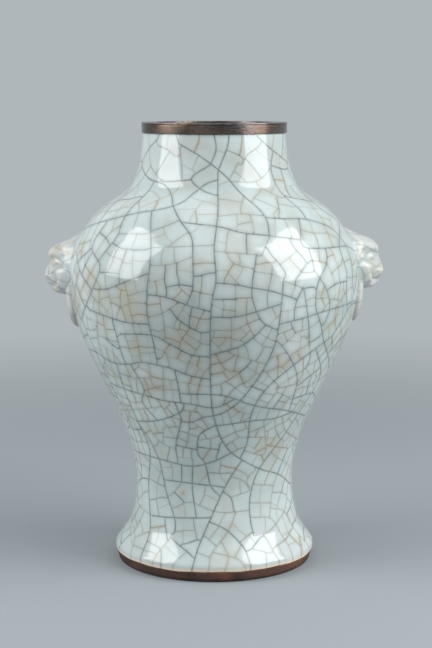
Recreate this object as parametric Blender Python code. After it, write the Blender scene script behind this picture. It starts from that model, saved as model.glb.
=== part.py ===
"""Baluster vase with a lion mask on each side, modelled as the pieces it is put together from.

Units are metres and +Z is up. The origin is the centre of the plane that the foot stands on, and the
masks face +X and -X. The body is four thrown sections: each one's rim stands up as a half-thickness
tongue inside the next one's socket, and a fillet of slip covers the joint on the inside. A mask and
a mock ring, both press-moulded, are laid on each side, and a sheet-metal band is bedded over the lip.
"""

from __future__ import annotations

import math
from collections.abc import Callable, Sequence
from dataclasses import dataclass

import bmesh
import bpy
import numpy as np

# The body's outer curve from the foot up. A rise is the height gained since the station before, and
# a lean is the radius gained for each unit of height.
FOOT_BAND_HEIGHT = 0.0062
TOE_RISE = 0.0038
TOE_RADIUS = 0.0567
TOE_LEAN = -0.708
INSTEP_RISE = 0.0140
INSTEP_RADIUS = 0.0483
INSTEP_LEAN = -0.284
WAIST_RISE = 0.0230
WAIST_RADIUS = 0.0449
CALF_RISE = 0.0530
CALF_RADIUS = 0.0617
CALF_LEAN = 0.502
BELLY_RISE = 0.0630
BELLY_RADIUS = 0.0824
SHOULDER_RISE = 0.0260
SHOULDER_RADIUS = 0.0746
SHOULDER_LEAN = -0.685
COLLAR_RISE = 0.0180
COLLAR_RADIUS = 0.0570
COLLAR_LEAN = -1.670
NECK_RISE = 0.0090
NECK_RADIUS = 0.0463
NECK_LEAN = -0.549
LIP_RISE = 0.0278
LIP_RADIUS = 0.0399
LIP_LEAN = -0.110

# Walls, floor and the turned foot ring.
WALL = 0.0048
FLOOR_THICKNESS = 0.0060
FLOOR_FILLET = 0.0100
FOOT_RECESS = 0.0070
FOOT_RING_WIDTH = 0.0058
FOOT_TAPER = 0.0006
FOOT_EDGE = 0.0008
TOE_OVERHANG = 0.0005
TOE_ROLL = 0.0007

# Joints between the thrown sections. SEAT_GAP is left between any two pieces that touch.
SEAT_GAP = 0.0003
LAP_HEIGHT = 0.0040
BELLY_SEAM_DROP = 0.0390
SLIP_FILLET_REACH = 0.0020
SLIP_FILLET_RISE = 0.0009

# Metal band over the lip, and the cement that beds it.
RIM_BAND_HEIGHT = 0.0059
RIM_INNER_SKIRT = 0.0050
RIM_SHEET = 0.00085
RIM_PROUD = 0.0011
RIM_BEAD_RADIUS = 0.0006
RIM_CREASE = 0.0003
CEMENT = 0.0006
LIP_EDGE = 0.0008

# Lion masks. Their relief is given up the middle line, where it is the height above the body.
MASK_ABOVE_BELLY = 0.0088
MASK_SKEW = 0.00175
MASK_HALF_WIDTH = 0.0210
MASK_HALF_HEIGHT = 0.0182
MASK_SQUARENESS = 2.2
MASK_EDGE = 0.0009
MASK_RIM_SHARE = 0.12
FACE_SPREAD = 0.0136
CROWN_UP = 0.0130
CROWN_RELIEF = 0.0068
CROWN_SLOPE = -2.05
FOREHEAD_UP = 0.0065
FOREHEAD_RELIEF = 0.0129
BRIDGE_UP = 0.0008
BRIDGE_RELIEF = 0.0118
NOSE_DOWN = 0.0057
NOSE_RELIEF = 0.0129
JAW_DOWN = 0.0128
JAW_RELIEF = 0.0100
JAW_SLOPE = 0.80
CHIN_DOWN = 0.0162
CHIN_RELIEF = 0.0045
CHIN_SLOPE = 1.60

# Mock rings, laid flat on the body below the masks.
RING_HANG = 0.0195
RING_HALF_WIDTH = 0.0140
RING_HALF_HEIGHT = 0.0123
RING_STRIP = 0.0054
RING_PROUD = 0.0020
RING_DROP_PROUD = 0.0028
RING_EDGE = 0.0005
RING_END_GAP = 0.00045

# Facets: steps round the axis, and steps over the masks and rings.
SPIN_STEPS = 44
MASK_SPOKES = 40
MASK_FRONT_RINGS = 15
MASK_BACK_RINGS = 5
RING_STEPS = 22
RING_FACE_STEPS = 4
RING_SEARCH_STEPS = 2000

Point = tuple[float, float]


@dataclass(frozen=True)
class Station:
    """A point that a smooth curve passes through, and the curve's slope there."""

    at: float
    value: float
    slope: float = 0.0


class SmoothCurve:
    """A cubic curve through stations, each span shaped by the slopes at its two ends."""

    def __init__(self, stations: Sequence[Station]) -> None:
        ordered = sorted(stations, key=lambda station: station.at)
        self.at = np.array([station.at for station in ordered])
        self.values = np.array([station.value for station in ordered])
        self.slopes = np.array([station.slope for station in ordered])

    def _span(self, at: np.ndarray) -> tuple[np.ndarray, np.ndarray, np.ndarray]:
        """Find each place's span: its number, its length, and how far along it the place is."""
        number = np.clip(np.searchsorted(self.at, at, side="right") - 1, 0, len(self.at) - 2)
        length = self.at[number + 1] - self.at[number]
        return number, length, (at - self.at[number]) / length

    def value(self, at: float | np.ndarray) -> np.ndarray:
        """Return the curve's value at each place."""
        k, length, t = self._span(np.asarray(at, dtype=float))
        return (
            (2 * t**3 - 3 * t**2 + 1) * self.values[k]
            + (t**3 - 2 * t**2 + t) * length * self.slopes[k]
            + (3 * t**2 - 2 * t**3) * self.values[k + 1]
            + (t**3 - t**2) * length * self.slopes[k + 1]
        )

    def slope(self, at: float | np.ndarray) -> np.ndarray:
        """Return the curve's slope at each place."""
        k, length, t = self._span(np.asarray(at, dtype=float))
        return (
            (6 * t**2 - 6 * t) * (self.values[k] - self.values[k + 1]) / length
            + (3 * t**2 - 4 * t + 1) * self.slopes[k]
            + (3 * t**2 - 2 * t) * self.slopes[k + 1]
        )


# Heights that follow from the rises.
TOE_HEIGHT = FOOT_BAND_HEIGHT + TOE_RISE
INSTEP_HEIGHT = TOE_HEIGHT + INSTEP_RISE
WAIST_HEIGHT = INSTEP_HEIGHT + WAIST_RISE
CALF_HEIGHT = WAIST_HEIGHT + CALF_RISE
BELLY_HEIGHT = CALF_HEIGHT + BELLY_RISE
SHOULDER_HEIGHT = BELLY_HEIGHT + SHOULDER_RISE
COLLAR_HEIGHT = SHOULDER_HEIGHT + COLLAR_RISE
NECK_HEIGHT = COLLAR_HEIGHT + NECK_RISE
LIP_HEIGHT = NECK_HEIGHT + LIP_RISE

BODY = SmoothCurve(
    [
        Station(TOE_HEIGHT, TOE_RADIUS, TOE_LEAN),
        Station(INSTEP_HEIGHT, INSTEP_RADIUS, INSTEP_LEAN),
        Station(WAIST_HEIGHT, WAIST_RADIUS),
        Station(CALF_HEIGHT, CALF_RADIUS, CALF_LEAN),
        Station(BELLY_HEIGHT, BELLY_RADIUS),
        Station(SHOULDER_HEIGHT, SHOULDER_RADIUS, SHOULDER_LEAN),
        Station(COLLAR_HEIGHT, COLLAR_RADIUS, COLLAR_LEAN),
        Station(NECK_HEIGHT, NECK_RADIUS, NECK_LEAN),
        Station(LIP_HEIGHT, LIP_RADIUS, LIP_LEAN),
    ]
)

# The three luted joints: at the waist, below the belly and at the root of the neck.
FOOT_SEAM = WAIST_HEIGHT
BELLY_SEAM = BELLY_HEIGHT - BELLY_SEAM_DROP
NECK_SEAM = NECK_HEIGHT


def cavity_radius(height: float | np.ndarray) -> np.ndarray:
    """Return the radius of the inner face, which lies a wall's thickness square to the outer one."""
    outer = np.linspace(TOE_HEIGHT, LIP_HEIGHT, 800)
    lean = BODY.slope(outer)
    slant = np.sqrt(1 + lean**2)
    return np.interp(height, outer + WALL * lean / slant, BODY.value(outer) - WALL / slant)


def lap_radius(height: float, side: int) -> float:
    """Return the radius of a lap's standing face, midway through the wall.

    Args:
        height: Height of the point on the face.
        side: -1 on the tongue below, +1 on the socket above.
    """
    middle = (BODY.value(height) + cavity_radius(height)) / 2
    return float(middle + side * SEAT_GAP / 2 * math.hypot(1, BODY.slope(height)))


def wall_points(face: Callable, low: float, high: float, steps: int) -> list[Point]:
    """Return points up a wall's face from low to high, evenly spaced along the face."""
    heights = np.linspace(low, high, 400)
    radii = face(heights)
    along = np.concatenate([[0], np.cumsum(np.hypot(np.diff(heights), np.diff(radii)))])
    even = np.interp(np.linspace(0, along[-1], steps + 1), along, heights)
    return [(float(face(height)), float(height)) for height in even]


def tongue(seam: float) -> list[Point]:
    """Return the top of the section below a seam, from its outer face in to the lap's top."""
    top = seam + LAP_HEIGHT
    return [(lap_radius(seam, -1), seam), (lap_radius(top, -1), top)]


def socket(seam: float) -> list[Point]:
    """Return the bottom of the section above a seam, from the lap's ceiling out to its outer face."""
    ceiling = seam + LAP_HEIGHT + SEAT_GAP
    edge = seam + SEAT_GAP
    return [(lap_radius(ceiling, +1), ceiling), (lap_radius(edge, +1), edge)]


def section_outline(low_seam: float, high_seam: float, outer: int, inner: int) -> list[Point]:
    """Return the closed cross-section of a thrown section between two seams.

    Args:
        low_seam: Height of the seam below, where this section has its socket.
        high_seam: Height of the seam above, where it has its tongue.
        outer: Steps up the outer face.
        inner: Steps down the inner face.
    """
    up = wall_points(BODY.value, low_seam + SEAT_GAP, high_seam, outer)
    ceiling = low_seam + LAP_HEIGHT + SEAT_GAP
    down = wall_points(cavity_radius, ceiling, high_seam + LAP_HEIGHT, inner)[::-1]
    return up + tongue(high_seam) + down + socket(low_seam)


def foot_outline() -> list[Point]:
    """Return half the foot section's cross-section, from the axis under the foot to the inside floor."""
    band_radius = TOE_RADIUS - TOE_OVERHANG
    base_radius = band_radius - FOOT_TAPER
    ring_inner = base_radius - FOOT_RING_WIDTH
    under = [
        (0.0, FOOT_RECESS),
        (ring_inner - FOOT_RECESS / 2, FOOT_RECESS),
        (ring_inner - FOOT_EDGE, FOOT_RECESS / 2),
        (ring_inner, FOOT_EDGE),
        (ring_inner + FOOT_EDGE, 0.0),
        (base_radius - FOOT_EDGE, 0.0),
        (base_radius, FOOT_EDGE),
    ]
    toe = []
    for t in np.linspace(0, 1, 5)[:-1]:
        radius = band_radius + t * TOE_OVERHANG + TOE_ROLL * math.sin(math.pi * t)
        toe.append((float(radius), float(FOOT_BAND_HEIGHT + t * TOE_RISE)))
    up = wall_points(BODY.value, TOE_HEIGHT, FOOT_SEAM, 6)
    floor = FOOT_RECESS + FLOOR_THICKNESS
    spring = floor + FLOOR_FILLET
    down = wall_points(cavity_radius, spring, FOOT_SEAM + LAP_HEIGHT, 3)[::-1]
    centre = float(cavity_radius(spring)) - FLOOR_FILLET
    fillet = []
    for turn in np.radians([30, 60, 90]):
        fillet.append((centre + FLOOR_FILLET * math.cos(turn), spring - FLOOR_FILLET * math.sin(turn)))
    return under + toe + up + tongue(FOOT_SEAM) + down + fillet + [(0.0, floor)]


def slip_fillet_outline(seam: float) -> list[Point]:
    """Return the closed cross-section of the slip that is smoothed over a seam on the inside."""
    height = seam + LAP_HEIGHT + SEAT_GAP / 2
    points = []
    for along, off in ((-1.0, 0.0), (-0.5, 1.0), (0.5, 1.0), (1.0, 0.0)):
        place = height + along * SLIP_FILLET_REACH
        points.append((float(cavity_radius(place)) - SEAT_GAP - off * SLIP_FILLET_RISE, place))
    return points


@dataclass(frozen=True)
class RimSizes:
    """Radii and heights of the lip, the cement and the metal band, worked inwards from the band."""

    band_outer: float
    cement_outer: float
    lip_outer: float
    lip_inner: float
    skirt_outer: float
    band_low: float
    band_top: float
    cement_top: float
    lip_top: float


def rim_sizes() -> RimSizes:
    """Work out the rim's nested layers, each one SEAT_GAP from the next."""
    band_outer = LIP_RADIUS + RIM_PROUD
    cement_outer = band_outer - RIM_SHEET - SEAT_GAP
    lip_inner = float(cavity_radius(LIP_HEIGHT))
    band_low = LIP_HEIGHT + SEAT_GAP
    band_top = band_low + RIM_BAND_HEIGHT
    cement_top = band_top - RIM_SHEET - SEAT_GAP
    return RimSizes(
        band_outer=band_outer,
        cement_outer=cement_outer,
        lip_outer=cement_outer - CEMENT - SEAT_GAP,
        lip_inner=lip_inner,
        skirt_outer=lip_inner - SEAT_GAP - CEMENT - SEAT_GAP,
        band_low=band_low,
        band_top=band_top,
        cement_top=cement_top,
        lip_top=cement_top - CEMENT - SEAT_GAP,
    )


def neck_outline() -> list[Point]:
    """Return the closed cross-section of the neck, with the rebate round its lip for the band."""
    rim = rim_sizes()
    up = wall_points(BODY.value, NECK_SEAM + SEAT_GAP, LIP_HEIGHT, 6)
    lip = [
        (rim.lip_outer, LIP_HEIGHT),
        (rim.lip_outer, rim.lip_top - LIP_EDGE),
        (rim.lip_outer - LIP_EDGE, rim.lip_top),
        (rim.lip_inner + LIP_EDGE, rim.lip_top),
        (rim.lip_inner, rim.lip_top - LIP_EDGE),
    ]
    ceiling = NECK_SEAM + LAP_HEIGHT + SEAT_GAP
    down = wall_points(cavity_radius, ceiling, LIP_HEIGHT, 4)[::-1]
    return up + lip + down + socket(NECK_SEAM)


def cement_outline() -> list[Point]:
    """Return the closed cross-section of the cement, an upside-down U over the lip."""
    rim = rim_sizes()
    inner = rim.lip_inner - SEAT_GAP
    skirt_low = rim.band_top - RIM_INNER_SKIRT
    return [
        (rim.cement_outer, rim.band_low),
        (rim.cement_outer, rim.cement_top),
        (inner - CEMENT, rim.cement_top),
        (inner - CEMENT, skirt_low),
        (inner, skirt_low),
        (inner, rim.cement_top - CEMENT),
        (rim.cement_outer - CEMENT, rim.cement_top - CEMENT),
        (rim.cement_outer - CEMENT, rim.band_low),
    ]


def rim_band_outline() -> list[Point]:
    """Return the closed cross-section of the metal band: two skirts and a top with rolled edges."""
    rim = rim_sizes()
    inner = rim.skirt_outer - RIM_SHEET
    skirt_low = rim.band_top - RIM_INNER_SKIRT
    bead_low = rim.band_top - 2 * RIM_BEAD_RADIUS
    middle = rim.band_top - RIM_BEAD_RADIUS
    outside = [(rim.band_outer, rim.band_low), (rim.band_outer, bead_low - RIM_CREASE)]
    outside.append((rim.band_outer - RIM_CREASE, bead_low))
    bead = []
    for turn in np.radians([-30, 0, 45, 90]):
        radius = rim.band_outer - RIM_CREASE + RIM_BEAD_RADIUS * (math.cos(turn) - 0.5)
        bead.append((radius, middle + RIM_BEAD_RADIUS * math.sin(turn)))
    roll = []
    for turn in np.radians([90, 150]):
        radius = inner + RIM_BEAD_RADIUS * (1 + math.cos(turn))
        roll.append((radius, middle + RIM_BEAD_RADIUS * math.sin(turn)))
    ceiling = rim.band_top - RIM_SHEET
    inside = [
        (inner, middle - RIM_BEAD_RADIUS),
        (inner, skirt_low),
        (rim.skirt_outer, skirt_low),
        (rim.skirt_outer, ceiling),
        (rim.band_outer - RIM_SHEET, ceiling),
        (rim.band_outer - RIM_SHEET, rim.band_low),
    ]
    return outside + bead + roll + inside


def finish_mesh(name: str, work: bmesh.types.BMesh, sharp: float) -> bpy.types.Object:
    """Turn a working mesh into a smooth-shaded object in the scene.

    Args:
        name: The object's name.
        work: The working mesh, which is freed.
        sharp: Angle in degrees above which an edge stays sharp.
    """
    bmesh.ops.recalc_face_normals(work, faces=work.faces)
    mesh = bpy.data.meshes.new(name)
    work.to_mesh(mesh)
    work.free()
    mesh.shade_smooth()
    mesh.set_sharp_from_angle(angle=math.radians(sharp))
    piece = bpy.data.objects.new(name, mesh)
    bpy.context.scene.collection.objects.link(piece)
    return piece


def revolve(name: str, outline: Sequence[Point], closed: bool = True) -> bpy.types.Object:
    """Spin a cross-section once round the Z axis.

    Args:
        name: The object's name.
        outline: Radius and height of each corner, in order.
        closed: False where the outline begins and ends on the axis.
    """
    work = bmesh.new()
    corners = [work.verts.new((radius, 0.0, height)) for radius, height in outline]
    pairs = list(zip(corners, corners[1:]))
    if closed:
        pairs.append((corners[-1], corners[0]))
    edges = [work.edges.new(pair) for pair in pairs]
    bmesh.ops.spin(
        work,
        geom=corners + edges,
        cent=(0, 0, 0),
        axis=(0, 0, 1),
        angle=math.tau,
        steps=SPIN_STEPS,
        use_merge=True,
    )
    bmesh.ops.remove_doubles(work, verts=work.verts, dist=1e-6)
    bmesh.ops.dissolve_degenerate(work, edges=work.edges, dist=1e-7)
    return finish_mesh(name, work, sharp=40)


@dataclass(frozen=True)
class Lobe:
    """A swelling or hollow on both halves of the mask's face.

    Attributes:
        across: Distance from the mask's middle line.
        up: Height above the mask's middle.
        wide: How far it spreads across.
        tall: How far it spreads upwards.
        rise: Its height, which is negative for a hollow.
    """

    across: float
    up: float
    wide: float
    tall: float
    rise: float

    def relief(self, across: np.ndarray, up: np.ndarray) -> np.ndarray:
        """Return the lobe's height at each place on the face."""
        aside = (np.abs(across) - self.across) / self.wide
        above = (up - self.up) / self.tall
        return self.rise * np.exp(-(aside**2) - above**2)


FACE = (
    Lobe(across=0.0075, up=0.0062, wide=0.0048, tall=0.0024, rise=0.0016),
    Lobe(across=0.0088, up=0.0012, wide=0.0036, tall=0.0030, rise=-0.0018),
    Lobe(across=0.0086, up=0.0012, wide=0.0022, tall=0.0020, rise=0.0020),
    Lobe(across=0.0152, up=0.0048, wide=0.0036, tall=0.0052, rise=0.0019),
    Lobe(across=0.0052, up=-0.0064, wide=0.0026, tall=0.0024, rise=0.0012),
    Lobe(across=0.0096, up=-0.0070, wide=0.0020, tall=0.0050, rise=-0.0010),
    Lobe(across=0.0134, up=-0.0100, wide=0.0030, tall=0.0062, rise=0.0020),
)

MIDDLE_LINE = SmoothCurve(
    [
        Station(-MASK_HALF_HEIGHT, MASK_EDGE, CHIN_SLOPE),
        Station(-CHIN_DOWN, CHIN_RELIEF, CHIN_SLOPE),
        Station(-JAW_DOWN, JAW_RELIEF, JAW_SLOPE),
        Station(-NOSE_DOWN, NOSE_RELIEF),
        Station(BRIDGE_UP, BRIDGE_RELIEF),
        Station(FOREHEAD_UP, FOREHEAD_RELIEF),
        Station(CROWN_UP, CROWN_RELIEF, CROWN_SLOPE),
        Station(MASK_HALF_HEIGHT, MASK_EDGE),
    ]
)


def mask_relief(across: np.ndarray, up: np.ndarray) -> np.ndarray:
    """Return the mask's height above the body.

    The middle line's relief falls away to both sides as a bell curve, the lobes of the face are
    added to it, and everything dies down to the sprig's edge thickness at the outline.
    """
    relief = MIDDLE_LINE.value(up) * np.exp(-((across / FACE_SPREAD) ** 2))
    for lobe in FACE:
        relief = relief + lobe.relief(across, up)
    reach = mask_reach(across, up)
    inside = np.clip((1 - reach) / MASK_RIM_SHARE, 0, 1)
    return MASK_EDGE + np.maximum(relief - MASK_EDGE, 0) * inside


def mask_reach(across: np.ndarray, up: np.ndarray) -> np.ndarray:
    """Return how far out each place is on the mask: 0 at its middle and 1 on its outline."""
    aside = np.abs(across / MASK_HALF_WIDTH) ** MASK_SQUARENESS
    above = np.abs(up / MASK_HALF_HEIGHT) ** MASK_SQUARENESS
    return (aside + above) ** (1 / MASK_SQUARENESS)


def body_depth(across: np.ndarray, height: np.ndarray) -> np.ndarray:
    """Return the body surface's distance from the YZ plane at a place on its side."""
    return np.sqrt(BODY.value(height) ** 2 - across**2)


def mask_rings(count: int) -> list[tuple[np.ndarray, np.ndarray]]:
    """Return rings of places on the mask, from its outline in towards its middle.

    Args:
        count: Number of rings, not counting the middle point.

    Returns:
        For each ring, the places' distance across and up.
    """
    turn = np.linspace(0, math.tau, MASK_SPOKES, endpoint=False)
    outline = 1 / mask_reach(np.cos(turn), np.sin(turn))
    reaches = [outline * k / count for k in range(count, 0, -1)]
    return [(reach * np.cos(turn), reach * np.sin(turn)) for reach in reaches]


def lay_rings(
    work: bmesh.types.BMesh, rings: Sequence[tuple[np.ndarray, np.ndarray]], depth: Callable
) -> list[bmesh.types.BMVert]:
    """Cover the mask's outline with a fan of rings at a given depth and return the outermost ring.

    Args:
        work: The mesh to add to.
        rings: Places across and up, outermost ring first.
        depth: Gives the surface's X for places across and up.
    """
    outermost: list[bmesh.types.BMVert] = []
    previous: list[bmesh.types.BMVert] = []
    for across, up in rings:
        x = depth(across, up)
        verts = [work.verts.new(place) for place in zip(x, across, up)]
        if previous:
            for k in range(MASK_SPOKES):
                n = (k + 1) % MASK_SPOKES
                work.faces.new((previous[k], previous[n], verts[n], verts[k]))
        else:
            outermost = verts
        previous = verts
    middle = work.verts.new((float(depth(np.array(0.0), np.array(0.0))), 0.0, 0.0))
    for k in range(MASK_SPOKES):
        work.faces.new((previous[k], previous[(k + 1) % MASK_SPOKES], middle))
    return outermost


def side_place(piece: bpy.types.Object, side: int, height: float) -> None:
    """Stand a piece on the body's side: +1 for the +X side and -1 for the -X side."""
    piece.location = (0.0, 0.0, height)
    piece.rotation_euler = (0.0, 0.0, 0.0 if side > 0 else math.pi)


def make_mask(name: str, side: int) -> bpy.types.Object:
    """Model one lion mask, its back lying SEAT_GAP off the body."""
    height = mask_height(side)
    work = bmesh.new()
    front = lay_rings(
        work,
        mask_rings(MASK_FRONT_RINGS),
        lambda across, up: body_depth(across, up + height) + SEAT_GAP + mask_relief(across, up),
    )
    back = lay_rings(
        work,
        mask_rings(MASK_BACK_RINGS),
        lambda across, up: body_depth(across, up + height) + SEAT_GAP,
    )
    for k in range(MASK_SPOKES):
        n = (k + 1) % MASK_SPOKES
        work.faces.new((front[k], back[k], back[n], front[n]))
    piece = finish_mesh(name, work, sharp=55)
    side_place(piece, side, height)
    return piece


def mask_height(side: int) -> float:
    """Return the height of a mask's middle. The two were laid on by hand, one a little higher."""
    return BELLY_HEIGHT + MASK_ABOVE_BELLY + side * MASK_SKEW


def ring_lane(offset: float, height: float) -> list[Point]:
    """Return the path of one lane of the mock ring, across and up from the mask's middle.

    Every lane is an ellipse about the ring's middle. Both its ends stop RING_END_GAP short of the mask.

    Args:
        offset: The lane's distance outwards from the strip's middle line.
        height: Height of the mask's middle.
    """
    wide = RING_HALF_WIDTH + offset
    tall = RING_HALF_HEIGHT + offset
    turn = np.linspace(0, math.pi, RING_SEARCH_STEPS)
    across = wide * np.sin(turn)
    up = -RING_HANG - tall * np.cos(turn)
    slack = RING_END_GAP / min(MASK_HALF_WIDTH, MASK_HALF_HEIGHT)
    clear = mask_reach(across, up) > 1 + slack
    last = turn[len(turn) - 1 if clear.all() else int(np.argmin(clear)) - 1]
    turns = np.linspace(-last, last, RING_STEPS + 1)
    return [(wide * math.sin(t), height - RING_HANG - tall * math.cos(t)) for t in turns]


def strip_section(proud: float) -> list[Point]:
    """Return the mock ring's cross-section: distance out from its middle line, and height.

    The face is half an ellipse between two low upright edges, and the back is flat.
    """
    half = RING_STRIP / 2
    turns = [math.pi * k / RING_FACE_STEPS for k in range(RING_FACE_STEPS, -1, -1)]
    face = [(half * math.cos(t), RING_EDGE + (proud - RING_EDGE) * math.sin(t)) for t in turns]
    return face + [(half, 0.0), (0.0, 0.0), (-half, 0.0)]


def place_on_side(across: float, up: float, lift: float) -> tuple[float, float, float]:
    """Return the place that stands off the body's side by a lift square to its surface."""
    radius = float(BODY.value(up))
    lean = float(BODY.slope(up))
    slant = math.hypot(1, lean)
    turn = math.asin(across / radius)
    reach = radius + lift / slant
    return reach * math.cos(turn), reach * math.sin(turn), up - lift * lean / slant


def make_mock_ring(name: str, side: int) -> bpy.types.Object:
    """Model one mock ring: a flattened strip bent round below the mask, lying SEAT_GAP off the body."""
    height = mask_height(side)
    lanes = [ring_lane(offset, height) for offset, _ in strip_section(RING_PROUD)]
    work = bmesh.new()
    loops: list[list[bmesh.types.BMVert]] = [[] for _ in lanes]
    for k in range(RING_STEPS + 1):
        droop = math.sin(math.pi * k / RING_STEPS) ** 4
        section = strip_section(RING_PROUD + (RING_DROP_PROUD - RING_PROUD) * droop)
        for loop, lane, (_, lift) in zip(loops, lanes, section):
            x, y, z = place_on_side(*lane[k], SEAT_GAP + lift)
            loop.append(work.verts.new((x, y, z - height)))
    for i, loop in enumerate(loops):
        after = loops[(i + 1) % len(loops)]
        for k in range(RING_STEPS):
            work.faces.new((loop[k], loop[k + 1], after[k + 1], after[k]))
    work.faces.new([loop[0] for loop in loops])
    work.faces.new([loop[-1] for loop in loops][::-1])
    piece = finish_mesh(name, work, sharp=60)
    side_place(piece, side, height)
    return piece


@dataclass(frozen=True)
class Finish:
    """A plain surface: linear colour, roughness and metallic value."""

    colour: tuple[float, float, float]
    roughness: float
    metallic: float = 0.0

    def apply(self, piece: bpy.types.Object) -> None:
        """Give a piece its own material with this finish."""
        material = bpy.data.materials.new(f"{piece.name}_surface")
        material.use_nodes = True
        shader = material.node_tree.nodes["Principled BSDF"]
        shader.inputs["Base Color"].default_value = (*self.colour, 1.0)
        shader.inputs["Roughness"].default_value = self.roughness
        shader.inputs["Metallic"].default_value = self.metallic
        piece.data.materials.append(material)


CRACKLE_GLAZE = Finish(colour=(0.50, 0.58, 0.55), roughness=0.12)
MASK_GLAZE = Finish(colour=(0.60, 0.64, 0.60), roughness=0.14)
FIRED_SLIP = Finish(colour=(0.36, 0.31, 0.26), roughness=0.75)
RIM_METAL = Finish(colour=(0.075, 0.050, 0.042), roughness=0.42, metallic=0.85)
RIM_CEMENT = Finish(colour=(0.12, 0.09, 0.07), roughness=0.85)


def main() -> None:
    """Clear the scene and model every piece of the vase."""
    for old in list(bpy.data.objects):
        bpy.data.objects.remove(old, do_unlink=True)

    CRACKLE_GLAZE.apply(revolve("foot_section", foot_outline(), closed=False))
    CRACKLE_GLAZE.apply(revolve("lower_body", section_outline(FOOT_SEAM, BELLY_SEAM, 8, 5)))
    CRACKLE_GLAZE.apply(revolve("upper_body", section_outline(BELLY_SEAM, NECK_SEAM, 12, 8)))
    CRACKLE_GLAZE.apply(revolve("neck", neck_outline()))

    for name, seam in (("foot", FOOT_SEAM), ("belly", BELLY_SEAM), ("neck", NECK_SEAM)):
        FIRED_SLIP.apply(revolve(f"{name}_slip_fillet", slip_fillet_outline(seam)))

    RIM_CEMENT.apply(revolve("rim_cement", cement_outline()))
    RIM_METAL.apply(revolve("rim_band", rim_band_outline()))

    for name, side in (("left", -1), ("right", +1)):
        MASK_GLAZE.apply(make_mask(f"lion_mask_{name}", side))
        MASK_GLAZE.apply(make_mock_ring(f"mock_ring_{name}", side))


main()
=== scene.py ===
"""A baluster vase in crackle-glazed stoneware, with a lion mask on each side and a metal-bound lip.

The vase stands on the XY plane with its axis on Z, and the masks face +X and -X. Sizes are in
millimetres until a mesh is made. The glaze is worked out on the body's map, whose two coordinates are
the turn round the axis, in radians from the front, and the climb up the wall. Climb is the length up
the wall with each millimetre divided by the radius there, so a small square on the map is a small
square on the vase, and a right angle between two cracks stays one.
"""

from __future__ import annotations

import logging
import math
from collections.abc import Callable, Mapping, Sequence
from dataclasses import dataclass, field
from enum import Enum

import bpy
import numpy as np
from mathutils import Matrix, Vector
from mathutils.geometry import delaunay_2d_cdt


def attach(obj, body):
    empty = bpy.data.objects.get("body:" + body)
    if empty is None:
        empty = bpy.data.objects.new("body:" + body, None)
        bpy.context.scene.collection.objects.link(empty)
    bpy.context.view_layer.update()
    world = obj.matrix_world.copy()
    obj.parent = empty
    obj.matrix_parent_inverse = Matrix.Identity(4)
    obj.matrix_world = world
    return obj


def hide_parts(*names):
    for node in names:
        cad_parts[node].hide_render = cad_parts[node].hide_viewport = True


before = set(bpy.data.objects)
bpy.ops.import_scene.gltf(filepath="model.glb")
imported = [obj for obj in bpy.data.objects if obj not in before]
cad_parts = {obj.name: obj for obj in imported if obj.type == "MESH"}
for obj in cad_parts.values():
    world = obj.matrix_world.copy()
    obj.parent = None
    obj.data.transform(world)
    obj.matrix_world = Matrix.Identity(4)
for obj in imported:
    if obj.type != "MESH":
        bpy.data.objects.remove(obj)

LOG = logging.getLogger("vase")
MM = 0.001
BODY = "root"
SEED = 11
BEND_FROM = 2.0
TINY = 1e-9

SMOOTH = {"interpolation_type": "SMOOTHSTEP"}

Array = np.ndarray
Place = Callable[[Array, Array], Array]
Route = Sequence[tuple[float, float]]
Feed = bpy.types.Node | bpy.types.NodeSocket | str | float | Sequence[float]
Feeds = Mapping[str | int, Feed] | Sequence[Feed]


def cubic(
    t: Array, ends: tuple[Array, Array], slopes: tuple[Array, Array], length: Array | float = 1.0
) -> Array:
    """Return the cubic that runs from one value to another and has a given slope at each end.

    Args:
        t: How far along each place is, 0 to 1.
        ends: The values at both ends.
        slopes: The slopes there.
        length: The length that the slopes are measured against.

    Returns:
        The cubic's value at each place.
    """
    level = (2 * t**3 - 3 * t**2 + 1) * ends[0] + (3 * t**2 - 2 * t**3) * ends[1]
    return level + length * ((t**3 - 2 * t**2 + t) * slopes[0] + (t**3 - t**2) * slopes[1])


def smooth(share: Array) -> Array:
    """Return shares from 0 to 1 with both ends flattened: three squares less two cubes."""
    return share * share * (3 - 2 * share)


def front_turn(points: Array) -> Array:
    """Return how far each point is turned round the axis from the front."""
    return np.arctan2(points[..., 0], -points[..., 1])


def placed(data: bpy.types.ID) -> bpy.types.Object:
    """Return a new object in the scene, named for its data.

    Args:
        data: A mesh, a lamp or a camera.

    Returns:
        The object.
    """
    thing = bpy.data.objects.new(data.name, data)
    bpy.context.scene.collection.objects.link(thing)
    return thing


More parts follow.
